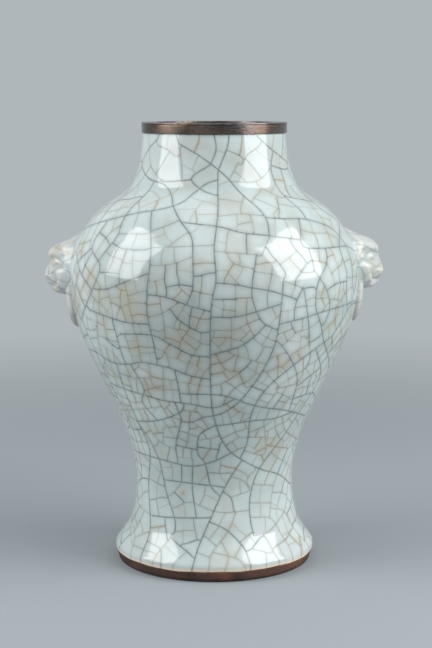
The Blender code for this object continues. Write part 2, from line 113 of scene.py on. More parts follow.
@dataclass(frozen=True)
class BodyCurve:
    """The body's outer curve, a smooth cubic from station to station up the wall.

    Attributes:
        heights: Height of each station, from the glaze's lower edge to the foot of the metal band.
        radii: Radius at each station.
        leans: Radius gained there for each millimetre of height.
        wall: Thickness of the wall, square to the outer face.
        table: What `measured` has worked out.
    """

    heights: tuple[float, ...] = (6.2, 10.0, 24.0, 47.0, 100.0, 163.0, 189.0, 207.0, 216.0, 243.8)
    radii: tuple[float, ...] = (57.3, 56.7, 48.3, 44.9, 61.7, 82.4, 74.6, 57.0, 46.3, 39.9)
    leans: tuple[float, ...] = (0.0, -0.708, -0.284, 0.0, 0.502, 0.0, -0.685, -1.67, -0.549, -0.11)
    wall: float = 4.8
    table: dict[str, Array] = field(default_factory=dict)

    def span(self, height: Array) -> tuple[Array, Array, Array]:
        """Find each height's span: its number, its length, and how far up it the height is.

        Args:
            height: The heights.

        Returns:
            The numbers, the lengths and the shares from 0 to 1.
        """
        at = np.array(self.heights)
        number = np.clip(np.searchsorted(at, height, side="right") - 1, 0, len(at) - 2)
        length = at[number + 1] - at[number]
        return number, length, (height - at[number]) / length

    def radius(self, height: Array) -> Array:
        """Return the outer radius: each span is the cubic that has its stations' radii and leans.

        Args:
            height: The heights.

        Returns:
            The radii.
        """
        k, length, t = self.span(np.asarray(height, dtype=float))
        value, slope = np.array(self.radii), np.array(self.leans)
        return cubic(t, (value[k], value[k + 1]), (slope[k], slope[k + 1]), length)

    def lean(self, height: Array) -> Array:
        """Return the slope of the outer curve, the derivative of the same cubic.

        Args:
            height: The heights.

        Returns:
            The slopes.
        """
        k, length, t = self.span(np.asarray(height, dtype=float))
        value, slope = np.array(self.radii), np.array(self.leans)
        ends = (6 * t**2 - 6 * t) * (value[k] - value[k + 1]) / length
        return ends + (3 * t**2 - 4 * t + 1) * slope[k] + (3 * t**2 - 2 * t) * slope[k + 1]

    def measured(self) -> dict[str, Array]:
        """Return matching heights, climbs and inner-wall points, worked out once.

        Returns:
            The table, by the names `height`, `climb`, `inner` and `shifted`.
        """
        if not self.table:
            height = np.linspace(self.heights[0], self.heights[-1], 4000)
            lean = self.lean(height)
            slant = np.sqrt(1 + lean**2)
            step = slant / self.radius(height)
            climb = np.concatenate([[0], np.cumsum((step[1:] + step[:-1]) / 2 * np.diff(height))])
            inner = self.radius(height) - self.wall / slant
            shifted = height + self.wall * lean / slant
            self.table.update(height=height, climb=climb, inner=inner, shifted=shifted)
        return self.table

    def climb(self, height: Array) -> Array:
        """Return the climb at each height."""
        table = self.measured()
        return np.interp(height, table["height"], table["climb"])

    def height(self, climb: Array) -> Array:
        """Return the height at each climb."""
        table = self.measured()
        return np.interp(climb, table["climb"], table["height"])

    def cavity(self, height: Array) -> Array:
        """Return the inner face's radius, one wall's thickness square to the outer face."""
        table = self.measured()
        return np.interp(height, table["shifted"], table["inner"])


CURVE = BodyCurve()


def on_body(turn: Array, climb: Array) -> Array:
    """Return the outer face's point at each place on the map: the curve, turned round the axis.

    At the back the map is bent sideways by three waves of the climb, so that the crack where its two
    ends meet wanders. The bend dies down towards the masks.

    Args:
        turn: Turn of each place, in radians.
        climb: Its climb.

    Returns:
        The points, in millimetres.
    """
    height = CURVE.height(climb)
    radius = CURVE.radius(height)
    bend = 0.06 * np.sin(2.3 * climb + 0.4) + 0.025 * np.sin(7.1 * climb + 1.9) + 0.008 * np.sin(19 * climb)
    turn = turn + bend * smooth(np.clip((np.abs(turn) - BEND_FROM) / (math.pi - BEND_FROM), 0, 1))
    return np.stack([radius * np.sin(turn), -radius * np.cos(turn), height], axis=-1)


def square_to(place: Place, turn: Array, climb: Array, step: float = 5e-4) -> Array:
    """Return a surface's unit normals: the cross product of its slopes along turn and along climb.

    Args:
        place: Gives the surface's points for turns and climbs.
        turn: Turn of each place.
        climb: Climb of each place.
        step: Distance on the map over which the slopes are taken.

    Returns:
        A unit normal at each place.
    """
    low, high = 0.0, float(CURVE.measured()["climb"][-1])
    below, above = np.clip(climb - step, low, high), np.clip(climb + step, low, high)
    along = place(turn + step, climb) - place(turn - step, climb)
    up = place(turn, above) - place(turn, below)
    normal = np.cross(along, up)
    return normal / np.linalg.norm(normal, axis=-1, keepdims=True)


class Tone(Enum):
    """What has stained a crack: how dark with iron, how golden, and how wide, in millimetres."""

    IRON = (0.76, 0.06, 0.60)
    GREY = (0.43, 0.16, 0.54)
    FINE = (0.28, 0.22, 0.48)
    GOLD = (0.20, 0.52, 0.54)
    FAINT = (0.14, 0.20, 0.46)

    @property
    def iron(self) -> float:
        """Return how dark the line is."""
        return self.value[0]

    @property
    def gold(self) -> float:
        """Return how golden the line is."""
        return self.value[1]

    @property
    def half_width(self) -> float:
        """Return the distance from the line's middle to where it has faded out."""
        return self.value[2]


# Where the cracks run on the side that is seen: millimetres across from the middle, and up.
IRON_ROUTES = (
    ((-19, 239), (-7, 232), (7, 221), (19, 209), (27, 201), (29, 192)),
    ((0, 244), (1, 236), (-2, 228)),
    ((8, 244), (7, 237), (3, 227), (2, 224)),
    (
        (2, 224), (2, 214), (2, 204), (1, 195), (0, 186), (1, 171), (-1, 160), (-2, 146),
        (-2, 129), (-2, 116), (-1, 98), (2, 85), (6, 76), (12, 69), (25, 60), (36, 54), (43, 45),
    ),
    ((2, 220), (-4, 218), (-11, 213), (-18, 208), (-28, 205), (-39, 203), (-57, 198), (-71, 192)),
    ((-2, 228), (-12, 221), (-7, 215), (1, 212)),
    ((-31, 241), (-37, 234), (-40, 227), (-36, 220), (-27, 217), (-23, 212), (-22, 207)),
    ((-33, 218), (-39, 210), (-48, 200), (-51, 192), (-54, 187)),
    ((23, 243), (32, 235), (41, 227)),
    ((32, 234), (31, 225), (36, 213), (47, 203)),
    ((27, 201), (37, 200), (49, 199), (64, 193), (72, 184)),
    ((-22, 207), (-18, 200), (-12, 192), (-11, 182), (-11, 167), (-14, 158)),
    ((-18, 199), (2, 197), (14, 194), (29, 192), (46, 189)),
    ((-33, 204), (-33, 184), (-35, 163), (-35, 151), (-32, 136), (-30, 124)),
    ((-58, 197), (-66, 184), (-61, 174), (-67, 158), (-73, 142)),
    ((-65, 162), (-57, 163), (-44, 169), (-34, 173)),
    ((-35, 162), (-25, 161), (-13, 157), (-2, 154)),
    ((-23, 155), (-18, 149), (-8, 143), (-2, 143)),
    ((-68, 150), (-58, 148), (-47, 146), (-34, 146)),
    ((-50, 139), (-33, 140), (-22, 135), (-12, 130), (-2, 129)),
    ((-2, 130), (5, 132), (14, 135), (21, 140), (27, 146)),
    ((45, 200), (46, 193), (47, 186), (57, 184), (72, 183), (78, 179)),
    ((69, 195), (68, 184), (72, 169), (72, 158), (73, 148)),
    ((60, 183), (60, 176), (55, 166), (54, 154), (57, 144), (60, 131), (64, 114)),
    ((53, 173), (60, 162), (62, 152), (59, 143)),
    ((34, 146), (46, 148), (62, 151), (78, 152)),
    ((47, 165), (43, 157), (42, 148)),
    ((47, 165), (49, 153), (51, 132)),
    ((20, 166), (30, 164), (43, 159)),
    ((22, 183), (20, 170), (20, 160), (25, 148), (33, 143)),
    ((1, 169), (11, 168), (20, 166)),
    ((-2, 151), (11, 151), (24, 154), (35, 157)),
    (
        (36, 169), (35, 155), (33, 139), (30, 129), (24, 117),
        (14, 103), (5, 96), (-1, 94), (-6, 93), (-12, 90), (-18, 90),
    ),
    ((64, 135), (52, 128), (39, 119), (27, 108), (20, 94), (18, 77), (14, 67)),
    ((55, 129), (58, 109), (48, 92), (38, 77), (25, 60), (20, 45), (20, 32), (22, 23)),
    ((15, 102), (26, 98), (39, 94), (51, 86)),
    ((2, 88), (19, 90), (32, 90), (43, 92)),
    ((-65, 125), (-55, 121), (-45, 122), (-38, 124), (-24, 122), (-13, 118), (-2, 116)),
    ((-52, 106), (-38, 104), (-27, 102), (-13, 101), (0, 99), (11, 104)),
    ((-45, 122), (-38, 108), (-39, 99), (-31, 89)),
    ((-68, 131), (-59, 110), (-52, 94), (-47, 83), (-42, 65)),
    ((-53, 121), (-48, 101), (-42, 85), (-36, 69), (-37, 47), (-36, 24), (-41, 10)),
    ((-21, 122), (-19, 110), (-18, 102)),
    ((-19, 107), (-2, 107), (6, 106), (14, 103)),
    ((-16, 100), (-19, 95), (-31, 89), (-43, 86)),
    ((-19, 95), (-18, 90), (-21, 74), (-20, 65)),
    ((0, 88), (-8, 82), (-9, 71), (-5, 65), (-2, 52), (3, 46)),
    ((-21, 75), (-9, 73)),
    ((-43, 86), (-36, 76), (-31, 65)),
    ((-45, 65), (-31, 65), (-13, 63), (-1, 66), (9, 71)),
    ((-30, 62), (-27, 47), (-22, 32), (-22, 25), (-24, 22), (-15, 16), (-11, 13)),
    ((-12, 63), (-12, 49), (-10, 34)),
    ((-18, 63), (-18, 54)),
    ((-28, 53), (-16, 53), (-2, 52), (5, 51)),
    ((15, 66), (7, 53), (0, 38), (-8, 20), (-12, 8)),
    ((3, 49), (9, 45), (11, 37)),
    ((-35, 31), (-17, 33), (-2, 34)),
    ((-3, 32), (7, 27), (16, 18), (20, 9)),
    ((41, 93), (45, 112), (39, 129), (33, 137)),
    ((-21, 101), (-19, 95)),
)
FINE_ROUTES = (
    ((-36, 243), (-35, 228), (-29, 219)),
    ((31, 226), (23, 219), (9, 219)),
    ((8, 220), (13, 229)),
    ((2, 202), (14, 203), (25, 202)),
    ((-34, 177), (-23, 178), (-11, 182)),
    ((-33, 186), (-18, 187), (1, 188)),
    ((-34, 150), (-26, 153), (-19, 158)),
    ((-52, 147), (-50, 153), (-43, 157), (-36, 157)),
    ((19, 202), (21, 194)),
    ((46, 194), (53, 192), (62, 191)),
    ((59, 196), (64, 184)),
    ((37, 200), (41, 191)),
    ((44, 141), (50, 142), (57, 146)),
    ((0, 185), (10, 184), (22, 183)),
    ((6, 185), (10, 179), (20, 176)),
    ((11, 168), (11, 151)),
    ((36, 169), (46, 165)),
    ((-2, 144), (10, 144), (17, 147)),
    ((9, 151), (9, 133)),
    ((-41, 140), (-39, 125)),
    ((-27, 123), (-27, 102)),
    ((-35, 124), (-32, 110), (-19, 109)),
    ((-35, 82), (-30, 76), (-21, 72)),
    ((-27, 47), (-25, 44), (-19, 51), (-18, 54)),
    ((-22, 38), (-13, 42), (2, 37), (19, 37)),
    ((9, 45), (20, 48)),
    ((9, 57), (16, 54), (20, 48)),
    ((23, 60), (18, 54), (21, 48)),
    ((23, 51), (31, 49)),
    ((20, 41), (31, 39)),
    ((35, 54), (32, 42), (31, 31)),
    ((20, 33), (32, 30), (40, 17), (44, 8)),
    ((32, 36), (40, 31), (48, 17), (53, 11)),
    ((40, 32), (30, 23)),
    ((-24, 22), (-30, 15), (-34, 9)),
    ((-15, 16), (-21, 11), (-23, 7)),
    ((12, 37), (8, 27), (-1, 16), (-3, 8)),
    ((-10, 16), (-3, 14)),
    ((0, 16), (12, 13), (17, 9)),
    ((15, 21), (21, 25)),
    ((-46, 21), (-45, 17), (-47, 9)),
    ((-45, 17), (-37, 22)),
    ((-44, 34), (-35, 31)),
    ((29, 127), (39, 130)),
    ((8, 131), (27, 124)),
    ((27, 120), (32, 113)),
    ((27, 89), (28, 69), (16, 72)),
    ((52, 128), (49, 139)),
    ((-12, 129), (-15, 120)),
    ((-53, 89), (-42, 94), (-29, 98)),
    ((-16, 97), (-9, 96)),
    ((10, 88), (13, 81), (18, 80)),
    ((8, 77), (13, 80)),
    ((20, 80), (27, 79)),
    ((27, 82), (37, 86)),
    ((33, 107), (43, 100)),
    ((-12, 90), (-5, 85)),
    ((-8, 79), (1, 81)),
    ((-28, 90), (-21, 79)),
    ((-28, 84), (-28, 77)),
)
GOLD_ROUTES = (
    ((10, 161), (20, 161)),
    ((17, 161), (17, 149), (21, 140)),
    ((34, 126), (34, 116)),
    ((37, 91), (40, 80), (47, 71)),
    ((48, 124), (48, 115)),
    ((1, 130), (6, 122), (14, 120)),
    ((6, 122), (4, 120), (-1, 119)),
    ((14, 120), (5, 114), (-2, 112)),
    ((13, 120), (17, 111), (20, 112)),
    ((-24, 135), (-28, 127)),
    ((-7, 116), (-9, 107)),
    ((-27, 111), (-38, 107)),
    ((-31, 103), (-26, 94), (-25, 91)),
    ((28, 74), (42, 68)),
    ((31, 109), (38, 109), (45, 110)),
)


# Blots that the fire has burnt warm: turn in degrees, height and radius in millimetres, and strength.
BURNS = (
    (-72.0, 151.0, 7.5, 0.75), (-22.0, 47.0, 1.9, 0.75), (63.0, 27.0, 2.2, 0.6), (10.0, 153.0, 9.0, 0.22),
    (-39.0, 68.0, 6.0, 0.25), (50.0, 71.0, 6.0, 0.25), (150.0, 140.0, 8.0, 0.4), (-120.0, 95.0, 4.0, 0.5),
    (172.0, 60.0, 2.6, 0.8), (-160.0, 186.0, 7.0, 0.3), (112.0, 118.0, 5.0, 0.3),
)


def smooth_path(points: Array, spacing: float) -> Array:
    """Run a smooth curve through points and space it evenly.

    Each stretch is the cubic whose slope at a point is half the step between that point's
    neighbours. The curve is then measured, and points are taken at equal lengths.

    Args:
        points: The points to pass through, one row each.
        spacing: Distance between the points that come back.

    Returns:
        The points of the curve.
    """
    if len(points) > 2:
        padded = np.vstack([2 * points[0] - points[1], points, 2 * points[-1] - points[-2]])
        t = np.linspace(0, 1, 24, endpoint=False)[:, None]
        before, here, after, beyond = (padded[i : len(padded) - 3 + i, None, :] for i in range(4))
        curve = cubic(t, (here, after), ((after - before) / 2, (beyond - here) / 2))
        points = np.vstack([curve.reshape(-1, 2), points[-1:]])
    along = np.concatenate([[0], np.cumsum(np.linalg.norm(np.diff(points, axis=0), axis=1))])
    count = max(int(round(along[-1] / spacing)), 1)
    even = np.linspace(0, along[-1], count + 1)
    return np.stack([np.interp(even, along, points[:, i]) for i in range(2)], axis=1)


@dataclass
class Crack:
    """One crack: its evenly spaced points on the map, and its tone."""

    path: Array
    tone: Tone


@dataclass(frozen=True)
class Spell:
    """A spell of cracking, in which the cells longer than a length split.

    Attributes:
        length: The length, in millimetres.
        tones: Shares of the new cracks, adding up to 1, and their tones.
        tries: Number of random places where a crack may start.
        low: Height below which no crack grows.
        high: Height above which none grows.
    """

    length: float
    tones: tuple[tuple[float, Tone], ...]
    tries: int
    low: float = CURVE.heights[0]
    high: float = CURVE.heights[-1]


# From the longest cells to the smallest. The neck, over 190 mm, keeps larger ones.
SPELLS = (
    Spell(70, ((1.0, Tone.IRON),), 400),
    Spell(42, ((1.0, Tone.IRON),), 900),
    Spell(25, ((0.7, Tone.IRON), (0.3, Tone.GREY)), 3000, high=190),
    Spell(28, ((0.2, Tone.IRON), (0.4, Tone.GREY), (0.4, Tone.FINE)), 1500, low=190),
    Spell(
        17.5, ((0.25, Tone.IRON), (0.35, Tone.GREY), (0.25, Tone.FINE), (0.15, Tone.GOLD)), 7000, high=190
    ),
    Spell(18, ((0.2, Tone.FINE), (0.2, Tone.GOLD), (0.6, Tone.FAINT)), 2500, low=190),
    Spell(13, ((0.15, Tone.GREY), (0.35, Tone.FINE), (0.3, Tone.GOLD), (0.2, Tone.FAINT)), 8000, 52, 182),
    Spell(10.0, ((0.2, Tone.FINE), (0.5, Tone.GOLD), (0.3, Tone.FAINT)), 7000, 72, 166),
    Spell(13, ((0.3, Tone.FINE), (0.7, Tone.FAINT)), 5000, 12, 200),
)


@dataclass
class Crackle:
    """The network of cracks in the glaze, kept as paths and as a fine chart of who runs where.

    The cracks of the seen side are laid along their routes. The rest grow as they do in a cooling
    glaze: a crack starts inside a cell that is still too long, crosses it the short way, and meets
    the cracks on both sides at right angles.

    Attributes:
        cell: Side of the chart's squares, on the map.
        spacing: Distance between the points of a path, on the map.
        outlook: How far a start looks for the walls of its cell, against the length that splits.
        central: How near its cell's middle a start must be, 0.5 for the very middle.
        shortest: Length under which a crack isn't drawn, in millimetres.
        sway: How far a crack bends aside, against its length.
        lead: How far it leaves a wall squarely, against its half length.
        join: How far a laid crack's end looks for a neighbour, on the map.
        last: How far it runs on at most where it finds none, on the map.
        fan: Turns aside that it tries there, in radians.
        random: The source of chance.
        cracks: The cracks. The first four are the map's edges. Its lower and upper edge aren't drawn,
            and its two upright ones are one long crack down the back.
        top: The climb of the map's upper edge.
        rows: Number of the chart's rows, upwards.
        columns: Number of its columns, round the axis.
        owner: The number of the crack on each square, or 0.
        stain: The warm stain on each square.
        shade: The grey on each square beside the dark cracks.
        burn: The fire's blots.
        beside: Which squares are too near a crack for the body's lattice.
        close: Which are too near one for the sprigs' lattice.
    """

    cell: float = 0.0028
    spacing: float = 0.013
    outlook: float = 2.6
    central: float = 0.36
    shortest: float = 1.6
    sway: float = 0.10
    lead: float = 0.3
    join: float = 0.045
    last: float = 0.25
    fan: tuple[float, ...] = (0.0, -0.3, 0.3, -0.6, 0.6)
    random: np.random.Generator = field(default_factory=lambda: np.random.default_rng(SEED))
    cracks: list[Crack] = field(default_factory=list)
    top: float = field(init=False)
    rows: int = field(init=False)
    columns: int = field(init=False)
    owner: Array = field(init=False)
    stain: Array = field(init=False)
    shade: Array = field(init=False)
    burn: Array = field(init=False)
    beside: Array = field(init=False)
    close: Array = field(init=False)

    def __post_init__(self) -> None:
        """Open an empty chart and lay the map's four edges."""
        self.top = float(CURVE.measured()["climb"][-1])
        self.columns = int(math.tau / self.cell) + 1
        self.rows = int(self.top / self.cell) + 1
        self.owner = np.zeros((self.rows, self.columns), dtype=np.int32)
        turns = np.linspace(-math.pi, math.pi, int(math.tau / self.spacing) + 1)
        climbs = np.linspace(0, self.top, int(self.top / self.spacing) + 1)
        for turn, climb in ((turns, 0.0), (turns, self.top), (-math.pi, climbs), (math.pi, climbs)):
            path = np.stack(np.broadcast_arrays(turn, climb), axis=1).astype(float)
            self.add(path, Tone.IRON)

    def squares(self, points: Array) -> tuple[Array, Array]:
        """Return the chart's row and column for each point.

        Args:
            points: Points of the map.

        Returns:
            Their rows and their columns.
        """
        row = np.clip((points[..., 1] / self.cell).astype(int), 0, self.rows - 1)
        column = np.clip(((points[..., 0] + math.pi) / self.cell).astype(int), 0, self.columns - 1)
        return row, column

    def add(self, path: Array, tone: Tone) -> None:
        """Keep a crack and mark it on the chart."""
        self.cracks.append(Crack(path, tone))
        self.stamp(path, len(self.cracks))

    def stamp(self, path: Array, number: int) -> None:
        """Mark a path on the chart with its crack's number, two squares wide so that none slips past.

        Args:
            path: The path.
            number: The crack's number.
        """
        row, column = self.squares(smooth_path(path, self.cell / 3))
        for down, across in ((0, 0), (1, 0), (0, 1)):
            r = np.minimum(row + down, self.rows - 1)
            c = np.minimum(column + across, self.columns - 1)
            free = self.owner[r, c] == 0
            self.owner[r[free], c[free]] = number

    def runs(self, point: Array, angles: Array, limit: float) -> tuple[Array, Array]:
        """Look out from a point along each angle until a crack is met.

        Args:
            point: Where to look from, on the map.
            angles: The directions.
            limit: How far to look.

        Returns:
            The free distance along each angle, and the number of the crack met, or 0.
        """
        reach = np.arange(1.5 * self.cell, limit, 0.6 * self.cell)
        ahead = np.stack([np.cos(angles), np.sin(angles)], axis=-1)[:, None, :]
        line = point + ahead * reach[None, :, None]
        met = self.owner[self.squares(line)]
        first = np.argmax(met > 0, axis=1)
        number = met[np.arange(len(angles)), first]
        return np.where(number > 0, reach[first], limit), number

    def landing(self, start: Array, angle: float, run: float, number: int) -> tuple[Array, Array]:
        """Find where a crack that heads for another one should join it.

        Args:
            start: Where the new crack comes from.
            angle: The direction it takes.
            run: How far off the other crack is that way.
            number: The other crack's number.

        Returns:
            The point of the other crack nearest to a place two thirds of the way there, and the
            direction square to the other crack on the near side.
        """
        ahead = np.array([math.cos(angle), math.sin(angle)])
        wall = self.cracks[number - 1].path
        aim = start + ahead * run * 0.66
        met = np.linalg.norm(wall - start - ahead * run, axis=1)
        away = np.where(met > 0.55 * run + 0.02, np.inf, np.linalg.norm(wall - aim, axis=1))
        k = int(np.argmin(away if np.isfinite(away).any() else met))
        along = wall[min(k + 1, len(wall) - 1)] - wall[max(k - 1, 0)]
        square = np.array([-along[1], along[0]]) / max(float(np.linalg.norm(along)), TINY)
        side = float(np.dot(start - wall[k], square))
        return wall[k], square * (1.0 if side > 0 else -1.0)

    def clear(self, path: Array) -> bool:
        """Tell whether a path meets no crack except at its two ends.

        Args:
            path: The path.

        Returns:
            Whether it is clear.
        """
        fine = smooth_path(path, self.cell)
        hold = min(6, len(fine) // 3)
        return not (self.owner[self.squares(fine[hold:-hold])] > 0).any()

    def grow(self, spell: Spell) -> None:
        """Split the cells that are longer than a spell's length.

        A random place is taken, and the free way is measured along 24 directions. Where the longest
        way across is over the length and the place is near its middle, a crack crosses the cell
        along its shortest way. It bends a little, so that it leaves both walls squarely.

        Args:
            spell: The spell.
        """
        half = 12
        circle = np.arange(2 * half) * math.pi / half
        bottom, ceiling = CURVE.climb(np.array([spell.low, spell.high]))
        shares = np.cumsum([share for share, _ in spell.tones])
        for _ in range(spell.tries):
            point = self.random.uniform((-math.pi, bottom), (math.pi, ceiling))
            chance = self.random.uniform(0, 1, 4)
            if self.owner[self.squares(point)] > 0:
                continue
            radius = float(CURVE.radius(CURVE.height(point[1])))
            angles = circle + chance[0] * math.pi / half
            free, number = self.runs(point, angles, self.outlook * spell.length / radius)
            ways = free[:half] + free[half:]
            longest, shortest = int(np.argmax(ways)), int(np.argmin(ways))
            middle = min(free[longest], free[longest + half]) / ways[longest]
            if ways[longest] * radius < spell.length or middle < self.central:
                continue
            if number[shortest] == 0 or number[shortest + half] == 0:
                continue
            ends = []
            for k in (shortest, shortest + half):
                spot, square = self.landing(point, float(angles[k]), float(free[k]), int(number[k]))
                lead = self.lead * float(np.linalg.norm(point - spot))
                ends.append((spot, spot + square * lead))
            if np.linalg.norm(ends[0][0] - ends[1][0]) < self.shortest / radius:
                continue
            sway = (chance[1] - 0.5) * self.sway * ways[shortest]
            lateral = np.array([-math.sin(angles[shortest]), math.cos(angles[shortest])]) * sway
            route = np.array([ends[0][0], ends[0][1], point + lateral, ends[1][1], ends[1][0]])
            which = min(int(np.searchsorted(shares, chance[2])), len(spell.tones) - 1)
            for way in (route, route[[0, 2, 4]], route[[0, 4]]):
                path = smooth_path(way, self.spacing)
                if self.clear(path):
                    self.add(path, spell.tones[which][1])
                    break

    def lay(self, routes: Sequence[Route], tone: Tone) -> list[Crack]:
        """Turn routes seen from the front into cracks on the map.

        A place x across and z up lies at the turn whose sine is x over the radius at z.

        Args:
            routes: Places along each crack, across and up.
            tone: The cracks' tone.

        Returns:
            The cracks.
        """
        laid = []
        for route in routes:
            across, height = np.array(route, dtype=float).T
            height = np.clip(height, CURVE.heights[0], CURVE.heights[-1])
            turn = np.arcsin(np.clip(across / CURVE.radius(height), -0.995, 0.995))
            path = np.stack([turn, CURVE.climb(height)], axis=1)
            laid.append(Crack(smooth_path(path, self.spacing), tone))
        return laid

    def join_ends(self, laid: list[Crack]) -> None:
        """End each laid crack on a point of its nearest neighbour, where one is within reach.

        Args:
            laid: The laid cracks.
        """
        edges = [crack.path for crack in self.cracks[:2]]
        for i, crack in enumerate(laid):
            others = np.vstack([other.path for j, other in enumerate(laid) if j != i] + edges)
            for _ in range(2):
                crack.path = crack.path[::-1]
                away = np.linalg.norm(others - crack.path[-1], axis=1)
                k = int(np.argmin(away))
                if TINY < away[k] < self.join:
                    # What lies closer than the gap goes, so that the crack doesn't double back.
                    back = np.linalg.norm(crack.path - others[k], axis=1)
                    keep = len(back)
                    while keep > 2 and back[keep - 1] < 1.15 * away[k] + 0.3 * self.spacing:
                        keep -= 1
                    crack.path = np.vstack([crack.path[:keep], others[k]])

    def run_on(self, first: int) -> None:
        """Lengthen each laid crack that stops in the open until it meets another.

        Args:
            first: The number of the first laid crack.
        """
        for i in range(first, len(self.cracks)):
            crack = self.cracks[i]
            for _ in range(2):
                crack.path = crack.path[::-1]
                tip = crack.path[-1]
                others = [other.path for j, other in enumerate(self.cracks) if j != i]
                if np.min(np.linalg.norm(np.vstack(others) - tip, axis=1)) < 1e-6:
                    continue
                ahead = tip - crack.path[max(len(crack.path) - 4, 0)]
                angle = math.atan2(ahead[1], ahead[0])
                fan = angle + np.array(self.fan)
                start = tip + 2.5 * self.cell * np.array([math.cos(angle), math.sin(angle)])
                free, number = self.runs(start, fan, self.last)
                free = np.where((number > 0) & (number != i + 1), free, np.inf)
                k = int(np.argmin(free))
                if np.isfinite(free[k]):
                    spot, _ = self.landing(start, float(fan[k]), float(free[k]), int(number[k]))
                    extra = smooth_path(np.array([tip, spot]), self.spacing)
                    crack.path = np.vstack([crack.path, extra[1:]])
                    self.stamp(extra, i + 1)

    def fire(self) -> None:
        """Lay the seen side's cracks, then grow the rest, from the longest cells to the smallest."""
        by_tone = ((IRON_ROUTES, Tone.IRON), (FINE_ROUTES, Tone.FINE), (GOLD_ROUTES, Tone.GOLD))
        laid = [crack for routes, tone in by_tone for crack in self.lay(routes, tone)]
        self.join_ends(laid)
        first = len(self.cracks)
        for crack in laid:
            self.add(crack.path, crack.tone)
        self.run_on(first)
        for spell in SPELLS:
            self.grow(spell)

    def chart(self, worth: Callable[[Tone], float], spread: float) -> Array:
        """Return a blurred chart of the cracks: each square's worth, spread as a bell curve.

        The blur is done on the chart's waves, each damped by the bell curve's own transform.

        Args:
            worth: Gives what a tone's cracks add.
            spread: The bell curve's width, on the map.

        Returns:
            The chart.
        """
        worths = np.array([0.0] * 3 + [worth(crack.tone) for crack in self.cracks[2:]])
        drawn = worths[self.owner]
        waves = np.fft.rfft2(drawn)
        up = np.fft.fftfreq(self.rows)[:, None]
        along = np.fft.rfftfreq(self.columns)[None, :]
        sigma = spread / self.cell
        waves *= np.exp(-2 * (math.pi * sigma) ** 2 * (up**2 + along**2))
        return np.fft.irfft2(waves, s=drawn.shape) * sigma * math.sqrt(math.tau) / 2

    def stained(self) -> None:
        """Work out the soft stain that has spread from the cracks into the glaze beside them."""
        near = self.chart(lambda tone: tone.gold, 0.016)
        wide = self.chart(lambda tone: tone.gold, 0.05)
        grey = self.chart(lambda tone: tone.iron, 0.010)
        self.stain = np.clip(1.3 * near + 0.22 * wide, 0, 1).astype(np.float32)
        self.shade = np.clip(1.2 * grey, 0, 1).astype(np.float32)
        self.beside, self.close = self.widened(6), self.widened(3)
        self.burn = self.blots()

    def widened(self, squares: int) -> Array:
        """Return a chart that is true on the cracks and up to a number of squares off them.

        Args:
            squares: The number of squares.

        Returns:
            The chart.
        """
        dark = self.owner > 2
        for axis in (0, 1):
            shifts = range(-squares, squares + 1)
            dark = np.any([np.roll(dark, shift, axis) for shift in shifts], axis=0)
        return dark

    def blots(self) -> Array:
        """Return a chart of the burnt blots: a bell curve of the distance to each, the strongest one.

        Returns:
            The chart, from 0 to 1.
        """
        climbs = ((np.arange(self.rows) + 0.5) * self.cell)[:, None]
        turns = ((np.arange(self.columns) + 0.5) * self.cell - math.pi)[None, :]
        burnt = np.zeros((self.rows, self.columns), dtype=np.float32)
        for turn, height, size, strength in BURNS:
            spread = size / float(CURVE.radius(np.array(height)))
            aside = (turns - math.radians(turn)) / spread
            above = (climbs - float(CURVE.climb(np.array(height)))) / spread
            burnt = np.maximum(burnt, strength * np.exp(-(aside**2) - above**2))
        return burnt

    def worn_by(self, net: Net, thin: Array, pooled_and_painted_shade: Array | float = 0.0) -> tuple[Array, Array]:
        """Work out a net's two glaze attributes.

        Args:
            net: The net.
            thin: How thin the glaze has run at each of its points.
            pooled_and_painted_shade: How dark the hollows are made there, partly where the glaze has pooled
                and partly as painted shade.

        Returns:
            Iron, gold and stain, and then shade, thinness and burn, at each point.
        """
        squares = self.squares(net.points)
        # On the sprigs the hollows are darkened here, as painted shade and partly as the glaze's pooling.
        shade = np.maximum(self.shade[squares], pooled_and_painted_shade)
        return (
            np.column_stack([net.lines, self.stain[squares]]),
            np.column_stack([shade, thin, self.burn[squares]]),
        )


@dataclass
class Net:
    """A triangulated stretch of the map.

    Attributes:
        points: Turn and climb of each point.
        faces: Three point numbers for each triangle, anticlockwise on the map.
        lines: Iron and gold of the crack lines at each point.
    """

    points: Array
    faces: Array
    lines: Array

    def middles(self) -> Array:
        """Return the middle of each triangle, on the map."""
        return self.points[self.faces].mean(axis=1)

    def cut(self, held: Array) -> Net:
        """Return a net of only some of the triangles.

        Args:
            held: Which triangles.

        Returns:
            Their net, its points numbered afresh.
        """
        used, faces = np.unique(self.faces[held], return_inverse=True)
        return Net(self.points[used], faces.reshape(-1, 3), self.lines[used])


